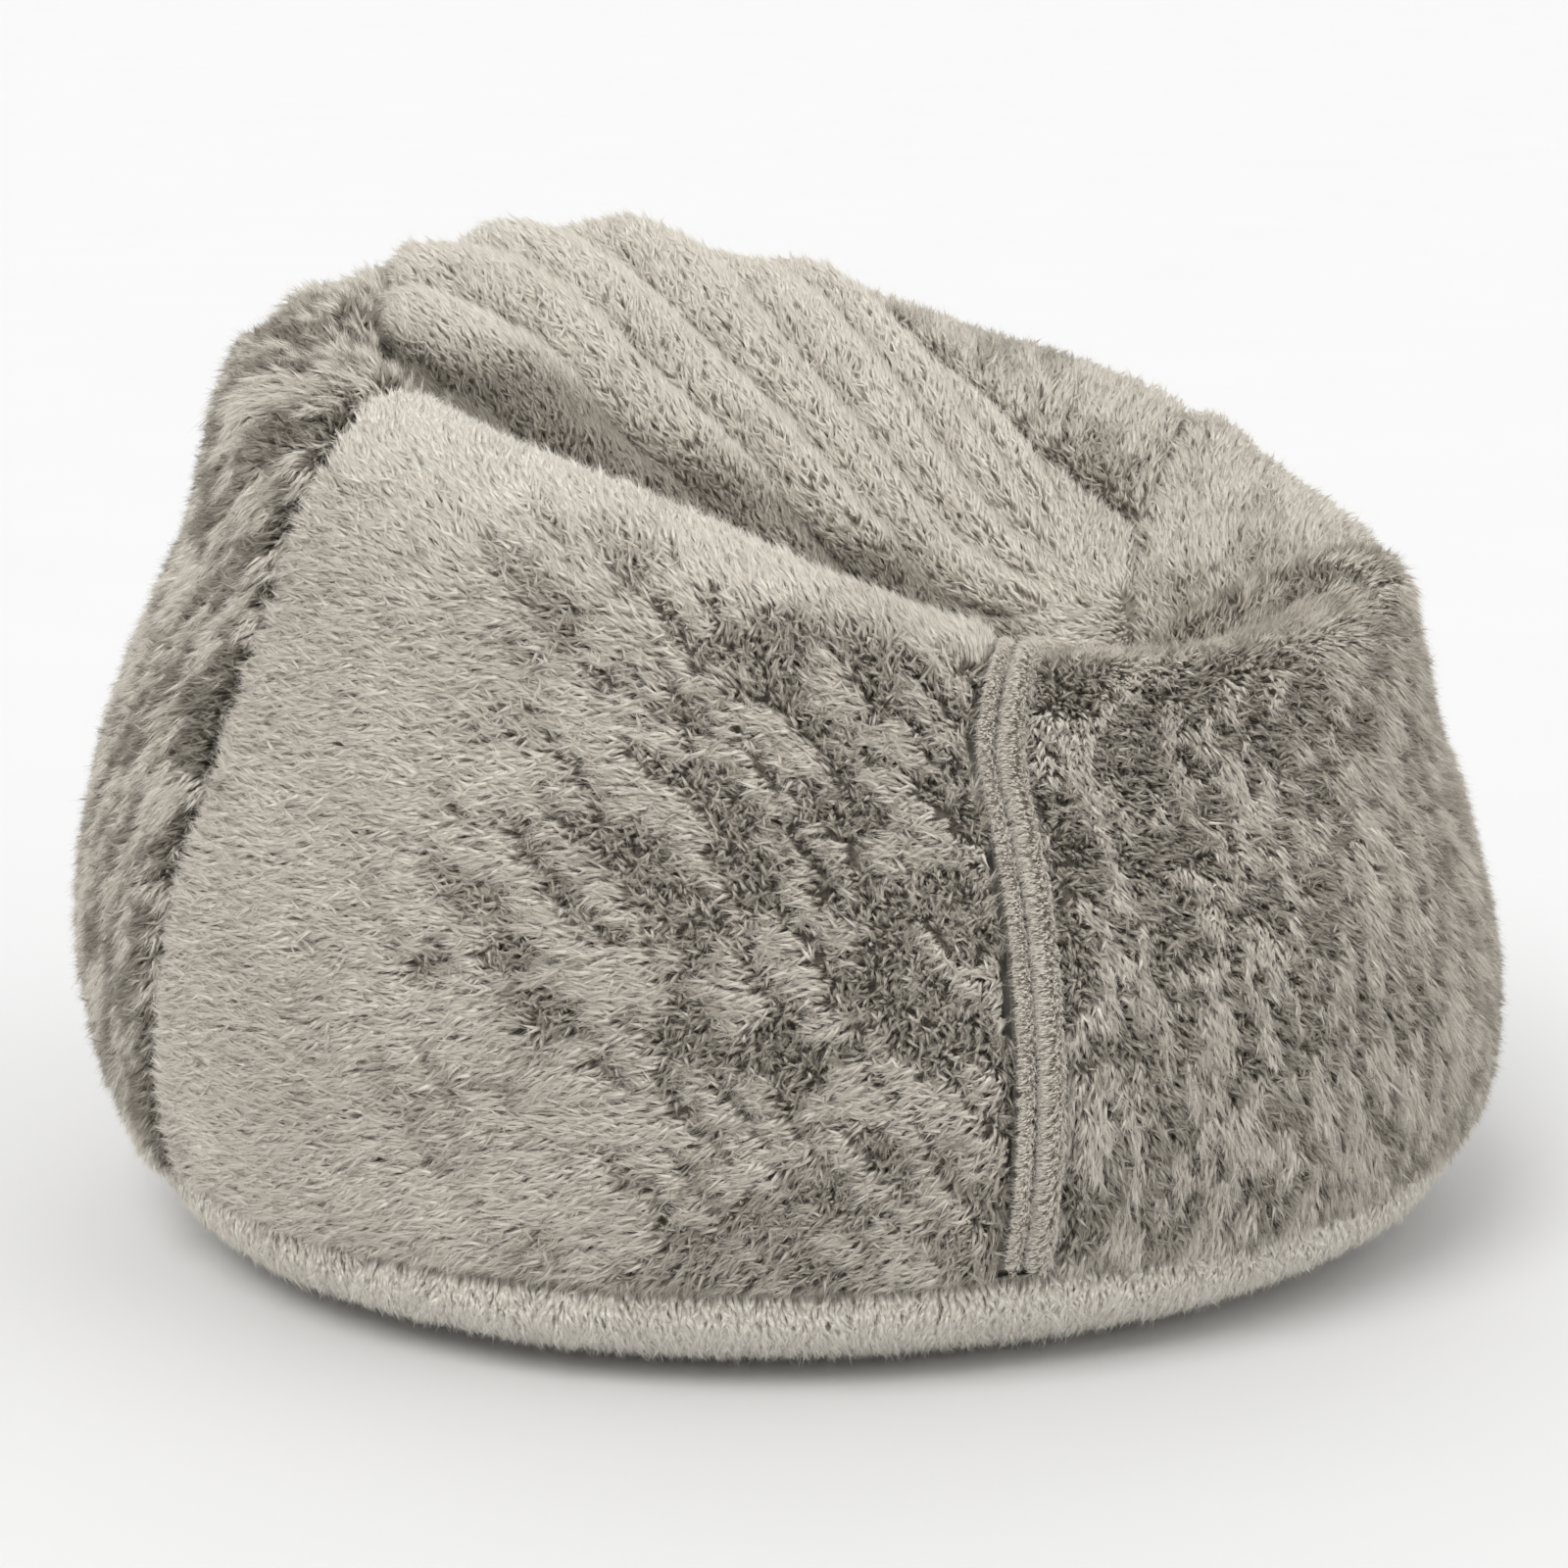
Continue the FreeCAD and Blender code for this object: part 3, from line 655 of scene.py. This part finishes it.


# per panel: comb as (round the bag, down the side), or None where it follows the pleats;
# mess, how much of it is ruffled; tone, as a place in TONES; lean in degrees; pile length;
# strand and clump, the size of combed strands and of ruffled clumps across and along the
# panel; rough, a shift towards ruffled; parting between strands, whose fur is shorter and
# painted darker as shadow; depth, tones of painted shade lost if ruffled
STYLE = {
    "front_left": dict(comb=(-1.0, 0.15), mess=0.92, tone=5.3, lean=67, pile=0.0190,
                       strand=(0.015, 0.0042), depth=2.4),
    "front_right": dict(comb=(-0.25, 1.0), mess=0.85, tone=5.4, lean=54, pile=0.0180,
                        strand=(0.0045, 0.012), clump=(0.010, 0.024), rough=0.10, depth=3.0),
    "right_back": dict(comb=(0.55, 0.6), mess=0.4, tone=5.9, lean=62, pile=0.0180,
                       strand=(0.008, 0.008), clump=(0.02, 0.03), rough=-0.05),
    "rear": dict(comb=(0.15, 1.0), mess=0.65, tone=5.1, lean=58, pile=0.0180,
                 strand=(0.0045, 0.014), clump=(0.02, 0.04), rough=0.0),
    "left_back": dict(comb=(-0.15, 1.0), mess=1.0, tone=6.2, lean=56, pile=0.0205,
                      strand=(0.0070, 0.022), clump=(0.012, 0.034), rough=0.12, depth=4.2),
    "seat": dict(comb=None, mess=0.07, tone=6.7, lean=69, pile=0.0190,
                 strand=(0.0042, 0.016), clump=(0.03, 0.05), rough=-0.1, parting=0.45),
}
SPACING = 0.0032   # between locks
LOCK_WIDTH = 0.0026             # the slimmest lock; some are a quarter wider
LEAN_LIMITS = (0.15, 1.36)      # radians from upright
FUR_FLOOR = 0.0008              # no hair goes below this height
SEAM_GAP = 0.0012               # from each panel's edge to the seam line
# points across and up each panel's backing
SIZE = {"front_left": (150, 150), "front_right": (150, 150), "right_back": (70, 150),
        "rear": (130, 160), "left_back": (120, 160), "seat": (190, 150)}


def combed(name, place):
    """Direction along the surface in which the fur of a panel is combed."""
    step = 0.02
    share = STYLE[name]["comb"]
    if share is None:
        away = unit(place - FAN)
        comb = unit(mapped(place + away * step) - mapped(place - away * step))
        return unit(comb + np.array((-0.25, 0.0, 1.2)))
    direction, level = from_map(place)
    round_bag = unit(surface(direction + 1, level) - surface(direction - 1, level))
    down_side = unit(surface(direction, level + step) - surface(direction, level - step))
    rise = (1 - smooth(1.0, 1.9, level)) * (0.9 if name == "front_left" else 0)
    return unit(round_bag * share[0] + down_side * (share[1] - rise)[..., None])


def ruffling(name, roots, where, flat_place):
    """How far the fur is ruffled at each root, from 0 where it lies combed to 1."""
    style = STYLE[name]
    mess = style["mess"]
    if name == "front_left":
        direction, level = from_map(where)
        # combed smooth at the left and over the crest
        mess = (mess * smooth(-62, -28, direction + 14 * noise(roots, 0.1, 21))
                * smooth(1.05, 1.45, level) * (1 - 0.4 * smooth(2.6, 2.95, level)) + 0.12)
        # diagonal streaks: blobs longer along one slanting direction
        slanted = np.stack((roots[:, 0] * 0.83 + roots[:, 2] * 0.56, roots[:, 1],
                            roots[:, 2] * 0.83 - roots[:, 0] * 0.56), -1)
        streak = (noise(slanted, (0.012, 0.03, 0.046), 31) + 0.45 * noise(roots, 0.010, 32)
                  + 0.28 * smooth(-50, -14, direction) - 0.12)
    else:
        streak = (noise(flat_place, style["clump"] + (1.0,), 31) + 0.6 * noise(roots, 0.010, 32)
                  + style["rough"])
    return smooth(-0.10, 0.26, streak) * np.clip(mess, 0, 1)


def painted_shade_and_light(name, where, left, right, bottom):
    """Tones of painted shade that a panel's fur is darker by at each root, or of painted light that
    it is lighter by where negative.
    """
    direction, level = from_map(where)
    if name == "seat":
        # painted shade in the pleats' valleys, along the front groove and in the fold behind the
        # crest; painted light on the pleats' ridges
        fold = pleats(where)
        shade = 4.4 * smooth(0.005, -0.019, fold) - 0.5 * smooth(0.008, 0.016, fold)
        shade = shade + 2.4 * near(bottom - 0.012, 0.02) * smooth(0.66, 0.5, left / (left + right))
        return np.minimum(shade + 4.2 * front_fold(where), 4.8)
    if name == "front_left":
        # painted light over the top of the crest, less towards the zip
        return (-1.6 * (1 - smooth(1.0, 1.7, level))
                * (1 - 0.7 * smooth(-30, -8, direction)))
    if name == "front_right":
        # painted shade where the panel rolls down into the hollow
        return 0.8 * (1 - smooth(0.55, 0.95, level))
    if name == "rear":
        # painted light along its top
        return -0.7 * (1 - smooth(1.0, 1.5, level))
    return np.zeros(len(where))


def panel(name, seed):
    """Backing and fur of one panel; returns how many locks the fur has."""
    style, sides = STYLE[name], SIDES[name]
    nu, nv = SIZE[name]
    base = mapped(patch(sides, np.linspace(0, 1, nu), np.linspace(0, 1, nv)))
    left, right = runs(base, 0)
    bottom, top = runs(base, 1)
    side_gap = SEAM_GAP / (left + right).mean()
    end_gap = SEAM_GAP / (bottom + top).mean()
    place = patch(sides, np.linspace(side_gap, 1 - side_gap, nu),
                  np.linspace(end_gap, 1 - end_gap, nv))
    base = mapped(place)
    left, right = runs(base, 0)
    bottom, top = runs(base, 1)
    normal = map_normal(place)
    out = relief(name, place, base, left, right, bottom, top)
    outer = base + normal * (out - BACK_DEPTH)[..., None]
    inner = outer - normal * BACK_THICK
    backing = PALE_BACKING if name in ("seat", "right_back") else BACKING
    skin = new_piece(name + "_cover", np.vstack((outer.reshape(-1, 3), inner.reshape(-1, 3))),
                     shell_faces(nu, nv), [backing])
    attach(skin, "bag")
    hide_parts(name + "_panel")

    lumpy = grid_normals(outer)
    lumpy = lumpy * np.sign((lumpy * normal).sum(-1, keepdims=True))
    rng = np.random.default_rng(seed)
    cells = scatter(outer, SPACING, rng)
    roots = blend_grid(outer, *cells)
    normals = unit(blend_grid(lumpy, *cells))
    comb_at = blend_grid(combed(name, place), *cells)
    where = blend_grid(place, *cells)
    count = len(roots)

    left, right, bottom, top = (blend_grid(e[..., None], *cells)[:, 0]
                                for e in (left, right, bottom, top))
    # the side along the zip has no seam
    seams = {"front_left": (left, bottom, top), "front_right": (right, bottom, top)}
    to_seam = np.minimum.reduce(seams.get(name, (left, right, bottom, top)))
    # fur near a seam is shorter and painted darker, as shade in the seam's groove
    at_seam = near(to_seam, 0.0080)
    flat_place = np.stack((left, bottom, left * 0), -1)
    swirl = 0.7 * noise(roots, 0.07, 11) + 0.45 * noise(roots, 0.028, 12)
    ruffled = ruffling(name, roots, where, flat_place)
    strand = noise(flat_place, style["strand"] + (1.0,), 33)
    # partings between strands: shorter fur, painted darker as shadow
    parted = smooth(0.12, 0.62, strand) * style.get("parting", 1.0)
    jitter = rng.normal(0, 1, (count, 4))
    angle = 0.35 * swirl + (0.13 + 1.15 * ruffled) * jitter[:, 0]
    # locks lean together in tufts
    tuft = np.stack([noise(roots, 0.011, 41 + k) for k in range(3)], -1)
    heading = unit(rotate(comb_at, normals, angle) + tuft * (0.25 + 0.7 * ruffled)[:, None])
    heading = unit(heading - normals * (heading * normals).sum(-1, keepdims=True))
    lean = np.radians(style["lean"] * (1 - 0.42 * ruffled) + 6 * jitter[:, 1])
    lean = np.clip(lean, *LEAN_LIMITS)
    shade = painted_shade_and_light(name, where, left, right, bottom)
    length = (style["pile"] * (1 - 0.22 * ruffled - 0.2 * parted - 0.55 * at_seam)
              * (1 + 0.13 * jitter[:, 2]) * (1 - 0.10 * np.clip(shade, 0, 2)))
    width = LOCK_WIDTH * (1 + 0.25 * rng.random(count))
    # tones of painted shade for ruffled fur, as shadow between its clumps
    depth = style.get("depth", 2.7)
    if name == "left_back":
        # calmer towards the back, with less painted shade in its ruffles
        depth = depth * (1 - 0.5 * smooth(-102, -122, from_map(where)[0]))
    # the panel's tone less its painted shade and light, painted shade in ruffles, partings and along
    # seams; the noise and jitter vary it at random
    tone = (style["tone"] - shade - depth * ruffled - 1.5 * parted * (1 - 0.5 * ruffled)
            - 2.2 * at_seam + 0.45 * noise(roots, 0.06, 51)
            + (0.35 + 0.4 * ruffled) * jitter[:, 3])
    bend = 0.35 * rng.normal(0, 1, count)
    fur_pieces(name, roots, normals, heading, tone, lean, length, width, bend, rng, FUR_FLOOR)
    return count


counts = {name: panel(name, 100 + order) for order, name in enumerate(SIDES)}
print("locks", counts, sum(counts.values()))

# ---- base panel ------------------------------------------------------------------------

BASE_DEPTH = 0.0085             # of its backing, below the bag's surface
BASE_PILE, BASE_LOCK_WIDTH = 0.0140, 0.0030
BASE_TONE, BASE_LEAN = 7.3, 60
BASE_TURNS = 360                # points round the bag
SOLE_HEIGHT = 0.0012            # of the backing's underside, above the floor
SOLE_THICK = 0.0015
FUR_RINGS = 20                  # rings of the backing, from the seam, that carry fur


def base_rings(levels):
    """Outer and inner points of the band's backing, and its normals."""
    direction = np.linspace(0, 360, BASE_TURNS, endpoint=False)
    place = to_map(direction[:, None], levels[None])
    base = mapped(place)
    normal = map_normal(place, 0.004)
    out = (-SEAM_DIP * near(runs(base, 1)[0], SEAM_REACH) + 0.0018 * noise(base, 0.06, 4)
           + slump(direction[:, None], levels[None]))
    band = base + normal * (out - BASE_DEPTH)[..., None]
    band[..., 2] = np.maximum(band[..., 2], SOLE_HEIGHT)
    inner = band - normal * BACK_THICK
    inner[..., 2] = np.maximum(inner[..., 2], band[..., 2] + 0.0008)
    return band, inner, normal


def base_backing(band, inner):
    """Closed backing of the base: the band, its inner side and the flat sole."""
    rings_out = [band[:, k] for k in range(band.shape[1])]
    rings_in = [inner[:, k] for k in range(band.shape[1])]
    for share in (0.8, 0.6, 0.4, 0.2):
        for rings, last, height in ((rings_out, band[:, -1], SOLE_HEIGHT),
                                    (rings_in, inner[:, -1], SOLE_HEIGHT + SOLE_THICK)):
            ring = last * share
            ring[:, 2] = height
            rings.append(ring)
    depth = len(rings_out)
    poles = np.array([[0, 0, SOLE_HEIGHT], [0, 0, SOLE_HEIGHT + SOLE_THICK]])
    points = np.vstack(rings_out + rings_in + [poles])
    t = np.arange(BASE_TURNS)
    n = (t + 1) % BASE_TURNS
    faces = []
    for k in range(depth - 1):
        a, b = k * BASE_TURNS, (k + 1) * BASE_TURNS
        faces += [np.stack((a + t, b + t, b + n), -1), np.stack((a + t, b + n, a + n), -1)]
        a, b = a + depth * BASE_TURNS, b + depth * BASE_TURNS
        faces += [np.stack((a + t, b + n, b + t), -1), np.stack((a + t, a + n, b + n), -1)]
    # the rim at the seam, then the two middles of the sole
    a, b = 0, depth * BASE_TURNS
    faces += [np.stack((a + t, a + n, b + n), -1), np.stack((a + t, b + n, b + t), -1)]
    last, pole = (depth - 1) * BASE_TURNS, 2 * depth * BASE_TURNS
    faces.append(np.stack((last + t, np.full(BASE_TURNS, pole), last + n), -1))
    last += depth * BASE_TURNS
    faces.append(np.stack((last + t, last + n, np.full(BASE_TURNS, pole + 1)), -1))
    return points, np.vstack(faces)


def base_panel():
    band, inner, normal = base_rings(np.linspace(3.02, 4.0, 26))
    cover = new_piece("base_cover", *base_backing(band, inner), [PALE_BACKING])
    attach(cover, "bag")
    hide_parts("base_panel")

    closed = np.concatenate((band, band[:1]), 0)
    closed_normal = np.concatenate((normal, normal[:1]), 0)
    down = unit(np.gradient(closed, axis=1))
    rng = np.random.default_rng(301)
    cells = scatter(closed[:, :FUR_RINGS], SPACING, rng)
    roots = blend_grid(closed[:, :FUR_RINGS], *cells)
    normals = unit(blend_grid(closed_normal[:, :FUR_RINGS], *cells))
    heading = unit(blend_grid(down[:, :FUR_RINGS], *cells))
    count = len(roots)
    jitter = rng.normal(0, 1, (count, 4))
    tuft = np.stack([noise(roots, 0.012, 61 + k) for k in range(3)], -1)
    angle = 0.5 * noise(roots, 0.05, 65) + 0.3 * jitter[:, 0]
    heading = unit(rotate(heading, normals, angle) + 0.5 * tuft)
    heading = unit(heading - normals * (heading * normals).sum(-1, keepdims=True))
    lean = np.clip(np.radians(BASE_LEAN + 8 * jitter[:, 1]), 0.2, 1.3)
    tone = BASE_TONE + 0.6 * noise(roots, 0.05, 66) + 0.8 * jitter[:, 3]
    length = BASE_PILE * (1 + 0.14 * jitter[:, 2])
    width = BASE_LOCK_WIDTH * (1 + 0.25 * rng.random(count))
    bend = 0.3 * rng.normal(0, 1, count)
    fur_pieces("base", roots, normals, heading, tone, lean, length, width, bend, rng, FUR_FLOOR)


base_panel()

# ---- placket: two folded strips of fur on a common groove ------------------------------

EDGE_LIP, FLAP_LIP = (-0.0128, -0.0008), (0.0008, 0.0200)
LIP_LEVELS = (2.955, 0.84)
LIP_ROWS, LIP_COLUMNS = 200, 24
LIP_INSET = 0.0026              # room for the fur at each side
LIP_SINK = 0.0030               # of its middle, below the bag's surface
LIP_SPACING = SPACING * 0.72
LIP_LOCK_WIDTH = 0.0015
LIP_TONE, LIP_LEAN = 5.6, 79
LIP_COMB = np.array((-1.0, 0.0, -0.10))


def lip_points(sides, crown, seed):
    """Rings of points round a strip that narrows and thins over its last rows."""
    level = np.linspace(*LIP_LEVELS, LIP_ROWS)
    wobble = 0.0007 * noise(np.stack((level * 0, level * 0, level), -1), 0.09, seed)
    turn = np.linspace(0, 2 * np.pi, LIP_COLUMNS, endpoint=False)
    half, middle = (sides[1] - sides[0]) / 2 - LIP_INSET, (sides[0] + sides[1]) / 2
    points = np.zeros((LIP_ROWS, LIP_COLUMNS, 3))
    row = np.arange(LIP_ROWS)
    ends = np.clip(np.minimum(row, LIP_ROWS - 1 - row) / 5, 0, 1) ** 0.5
    for k, a in enumerate(turn):
        across = middle + wobble + half * np.cos(a) * (0.5 + 0.5 * ends)
        place = to_map(placket_direction(across, level), level)
        height = -LIP_SINK + crown * np.sin(a) * (0.3 + 0.7 * ends)
        points[:, k] = mapped(place) + map_normal(place) * height[:, None]
    return points


def tube_faces(rows, columns):
    """Triangles of a closed tube whose two end points follow its rings."""
    count = rows * columns
    i, j = np.meshgrid(np.arange(rows - 1), np.arange(columns), indexing="ij")
    a, b = (i * columns + j).ravel(), (i * columns + (j + 1) % columns).ravel()
    quads = np.stack((a, b, b + columns, a + columns), -1)
    faces = [quads[:, [0, 1, 2]], quads[:, [0, 2, 3]]]
    for row, tip, turn_back in ((0, count, 1), (rows - 1, count + 1, -1)):
        c = row * columns + np.arange(columns)
        d = row * columns + (np.arange(columns) + 1) % columns
        faces.append(np.stack((np.full(columns, tip), d, c)[::turn_back], -1))
    return np.vstack(faces)


def lip(name, node, sides, crown, pile, seed):
    """A rounded strip over the zip, and its short fur combed across it."""
    points = lip_points(sides, crown, seed)
    centre = points.mean(1, keepdims=True)
    outward = unit(points - centre)
    strip = new_piece(name + "_strip", np.vstack((points.reshape(-1, 3), centre[0], centre[-1])),
                      tube_faces(LIP_ROWS, LIP_COLUMNS), [BACKING])
    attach(strip, "bag")
    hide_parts(node)

    closed = np.concatenate((points, points[:, :1]), 1)
    closed_outward = np.concatenate((outward, outward[:, :1]), 1)
    rng = np.random.default_rng(seed)
    i, j, f, g = scatter(closed, LIP_SPACING, rng)
    upper = (j + g) / LIP_COLUMNS < 0.54
    cells = [part[upper] for part in (i, j, f, g)]
    roots = blend_grid(closed, *cells)
    normals = unit(blend_grid(closed_outward, *cells))
    count = len(roots)
    jitter = rng.normal(0, 1, (count, 4))
    heading = LIP_COMB + 0.16 * jitter[:, :3] * (1, 0.4, 1)
    heading = unit(heading - normals * (heading * normals).sum(-1, keepdims=True))
    lean = np.clip(np.radians(LIP_LEAN + 4 * jitter[:, 0]), 0.3, 1.45)
    tone = LIP_TONE + 0.5 * noise(roots, 0.02, seed) + 0.35 * jitter[:, 3]
    length = pile * (1 + 0.15 * jitter[:, 1])
    fur_pieces(name, roots, normals, heading, tone, lean, length, np.full(count, LIP_LOCK_WIDTH),
               0.3 * jitter[:, 2], rng)


lip("placket_edge", "placket_edge", EDGE_LIP, 0.0034, 0.0046, 401)
lip("placket_flap", "placket_flap", FLAP_LIP, 0.0038, 0.0068, 402)

# ---- inner layers: the liner and the filling sag; the zips keep their CAD shapes ---------

LINER_CLOTH = textured("liner_cloth", (166, 160, 150), (204, 199, 190), 900, 0.85, 0.0003, "WEAVE")
BEADS = textured("beads", (196, 196, 192), (240, 240, 236), 260, 0.6, 0.002, "BEADS")
TAPE = textured("zip_tape", (112, 104, 94), (150, 142, 131), 1400, 0.85, 0.0002, "WEAVE")
COIL = textured("zip_coil", (104, 97, 88), (134, 127, 117), 700, 0.35, 0.0001, sheen=0)
METAL = textured("zip_metal", (92, 90, 86), (124, 121, 116), 900, 0.38, 0.0001, sheen=0,
                 metallic=1.0)
SEAT_SAG = 0.024


def inner_bag(name, node, material, depth, foot_depth, thick, creases, seed):
    """Sagging bag inside the cover, deeper under the seat's pleats; with thick None, solid."""
    turns, rows = ((300, 160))
    direction = np.linspace(0, 360, turns, endpoint=False)
    level = np.linspace(0.02, 4.0, rows)
    place = to_map(direction[:, None], level[None])
    base, normal = mapped(place), map_normal(place, 0.006)
    foot_share = smooth(3.1, 4.0, level)
    down = (depth + SEAT_SAG * (1 - smooth(1.02, 1.4, level)))[None] * (1 - foot_share)
    down = down + foot_depth * foot_share[None]
    ripple = creases * (np.abs(noise(base, 0.05, seed)) + 0.5 * np.abs(noise(base, 0.02, seed + 1)))
    down = down + ripple * (1 - smooth(3.3, 3.9, level))[None]
    outer = base - normal * down[..., None]
    outer[..., 2] = np.maximum(outer[..., 2], foot_depth)
    layers = [outer] if thick is None else [outer, outer - normal * thick]
    points = np.vstack([layer.reshape(-1, 3) for layer in layers]
                       + [layer[:, 0].mean(0)[None] for layer in layers])
    count, t = turns * rows, np.arange(turns)
    n = (t + 1) % turns
    faces = []
    for k, layer in enumerate(layers):
        turned_in = -1 if k else 1
        i, j = np.meshgrid(t, np.arange(rows - 1), indexing="ij")
        a, b = (i * rows + j + k * count).ravel(), (n[i] * rows + j + k * count).ravel()
        for tri in ((a, a + 1, b + 1), (a, b + 1, b)):
            faces.append(np.stack(tri[::turned_in], -1))
        pole = np.full(turns, len(layers) * count + k)
        faces.append(np.stack((n * rows + k * count, pole, t * rows + k * count)[::turned_in], -1))
    foot = t * rows + rows - 1
    after = n * rows + rows - 1
    if thick is None:
        points = np.vstack((points, [[0, 0, foot_depth]]))
        faces.append(np.stack((after, foot, np.full(turns, len(points) - 1)), -1))
    else:
        faces.append(np.stack((foot, foot + count, after + count), -1))
        faces.append(np.stack((foot, after + count, after), -1))
    bag = new_piece(name, points, np.vstack(faces), [material])
    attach(bag, "bag")
    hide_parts(node)


inner_bag("liner_bag", "liner_body", LINER_CLOTH, 0.0235, 0.0165, 0.0010, 0.0030, 71)
inner_bag("bead_filling", "bead_fill", BEADS, 0.0300, 0.0235, None, 0.0020, 81)
# a later key overrules an earlier one
for node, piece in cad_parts.items():
    for key, mat in (("liner_", LINER_CLOTH), ("bead", BEADS), ("tape", TAPE), ("coil", COIL),
                     ("stop", METAL), ("slider", METAL)):
        if key in node:
            piece.data.materials.clear()
            piece.data.materials.append(mat)

# ---- camera, floor and light -----------------------------------------------------------

TARGET = Vector((0, 0, 0.310))
AZIMUTH, ELEVATION, DISTANCE = math.radians(-19), math.radians(13), 3.3
LENS, SENSOR = 101.7, 36        # millimetres, as Blender's camera has them
FLOOR_HALF = 45.0
SKY = 0.66

camera_data = bpy.data.cameras.new("camera")
camera_data.lens = LENS
camera_data.sensor_width = SENSOR
camera_data.clip_end = 200
camera = bpy.data.objects.new("camera", camera_data)
bpy.context.scene.collection.objects.link(camera)
offset = Vector((math.sin(AZIMUTH) * math.cos(ELEVATION), -math.cos(AZIMUTH) * math.cos(ELEVATION),
                 math.sin(ELEVATION)))
camera.location = TARGET + offset * DISTANCE
camera.rotation_euler = (-offset).to_track_quat("-Z", "Y").to_euler()
bpy.context.scene.camera = camera
bpy.context.scene.view_settings.view_transform = "Standard"

floor_mat = textured("floor", (239, 239, 239), (240, 240, 240), 3, 0.9, 0.0002, sheen=0)
corners = FLOOR_HALF * np.array(((-1, -1, 0), (1, -1, 0), (1, 1, 0), (-1, 1, 0)), float)
floor = new_piece("floor", corners, np.array([(0, 1, 2, 3)]), [floor_mat])

world = bpy.data.worlds.new("studio")
world.use_nodes = True
world.node_tree.nodes["Background"].inputs["Color"].default_value = (1, 1, 1, 1)
world.node_tree.nodes["Background"].inputs["Strength"].default_value = SKY
bpy.context.scene.world = world


def soft_sun(name, azimuth, elevation, strength, spread):
    """Sunlight from a wide patch of sky, so that the whole floor is lit evenly."""
    data = bpy.data.lights.new(name, "SUN")
    data.energy = strength
    data.angle = math.radians(spread)
    light = bpy.data.objects.new(name, data)
    bpy.context.scene.collection.objects.link(light)
    a, e = math.radians(azimuth), math.radians(elevation)
    toward = Vector((math.sin(a) * math.cos(e), -math.cos(a) * math.cos(e), math.sin(e)))
    light.rotation_euler = (-toward).to_track_quat("-Z", "Y").to_euler()


soft_sun("key", -48, 52, 1.28, 32)
soft_sun("fill", 50, 35, 0.35, 60)
soft_sun("back", 170, 40, 0.30, 60)
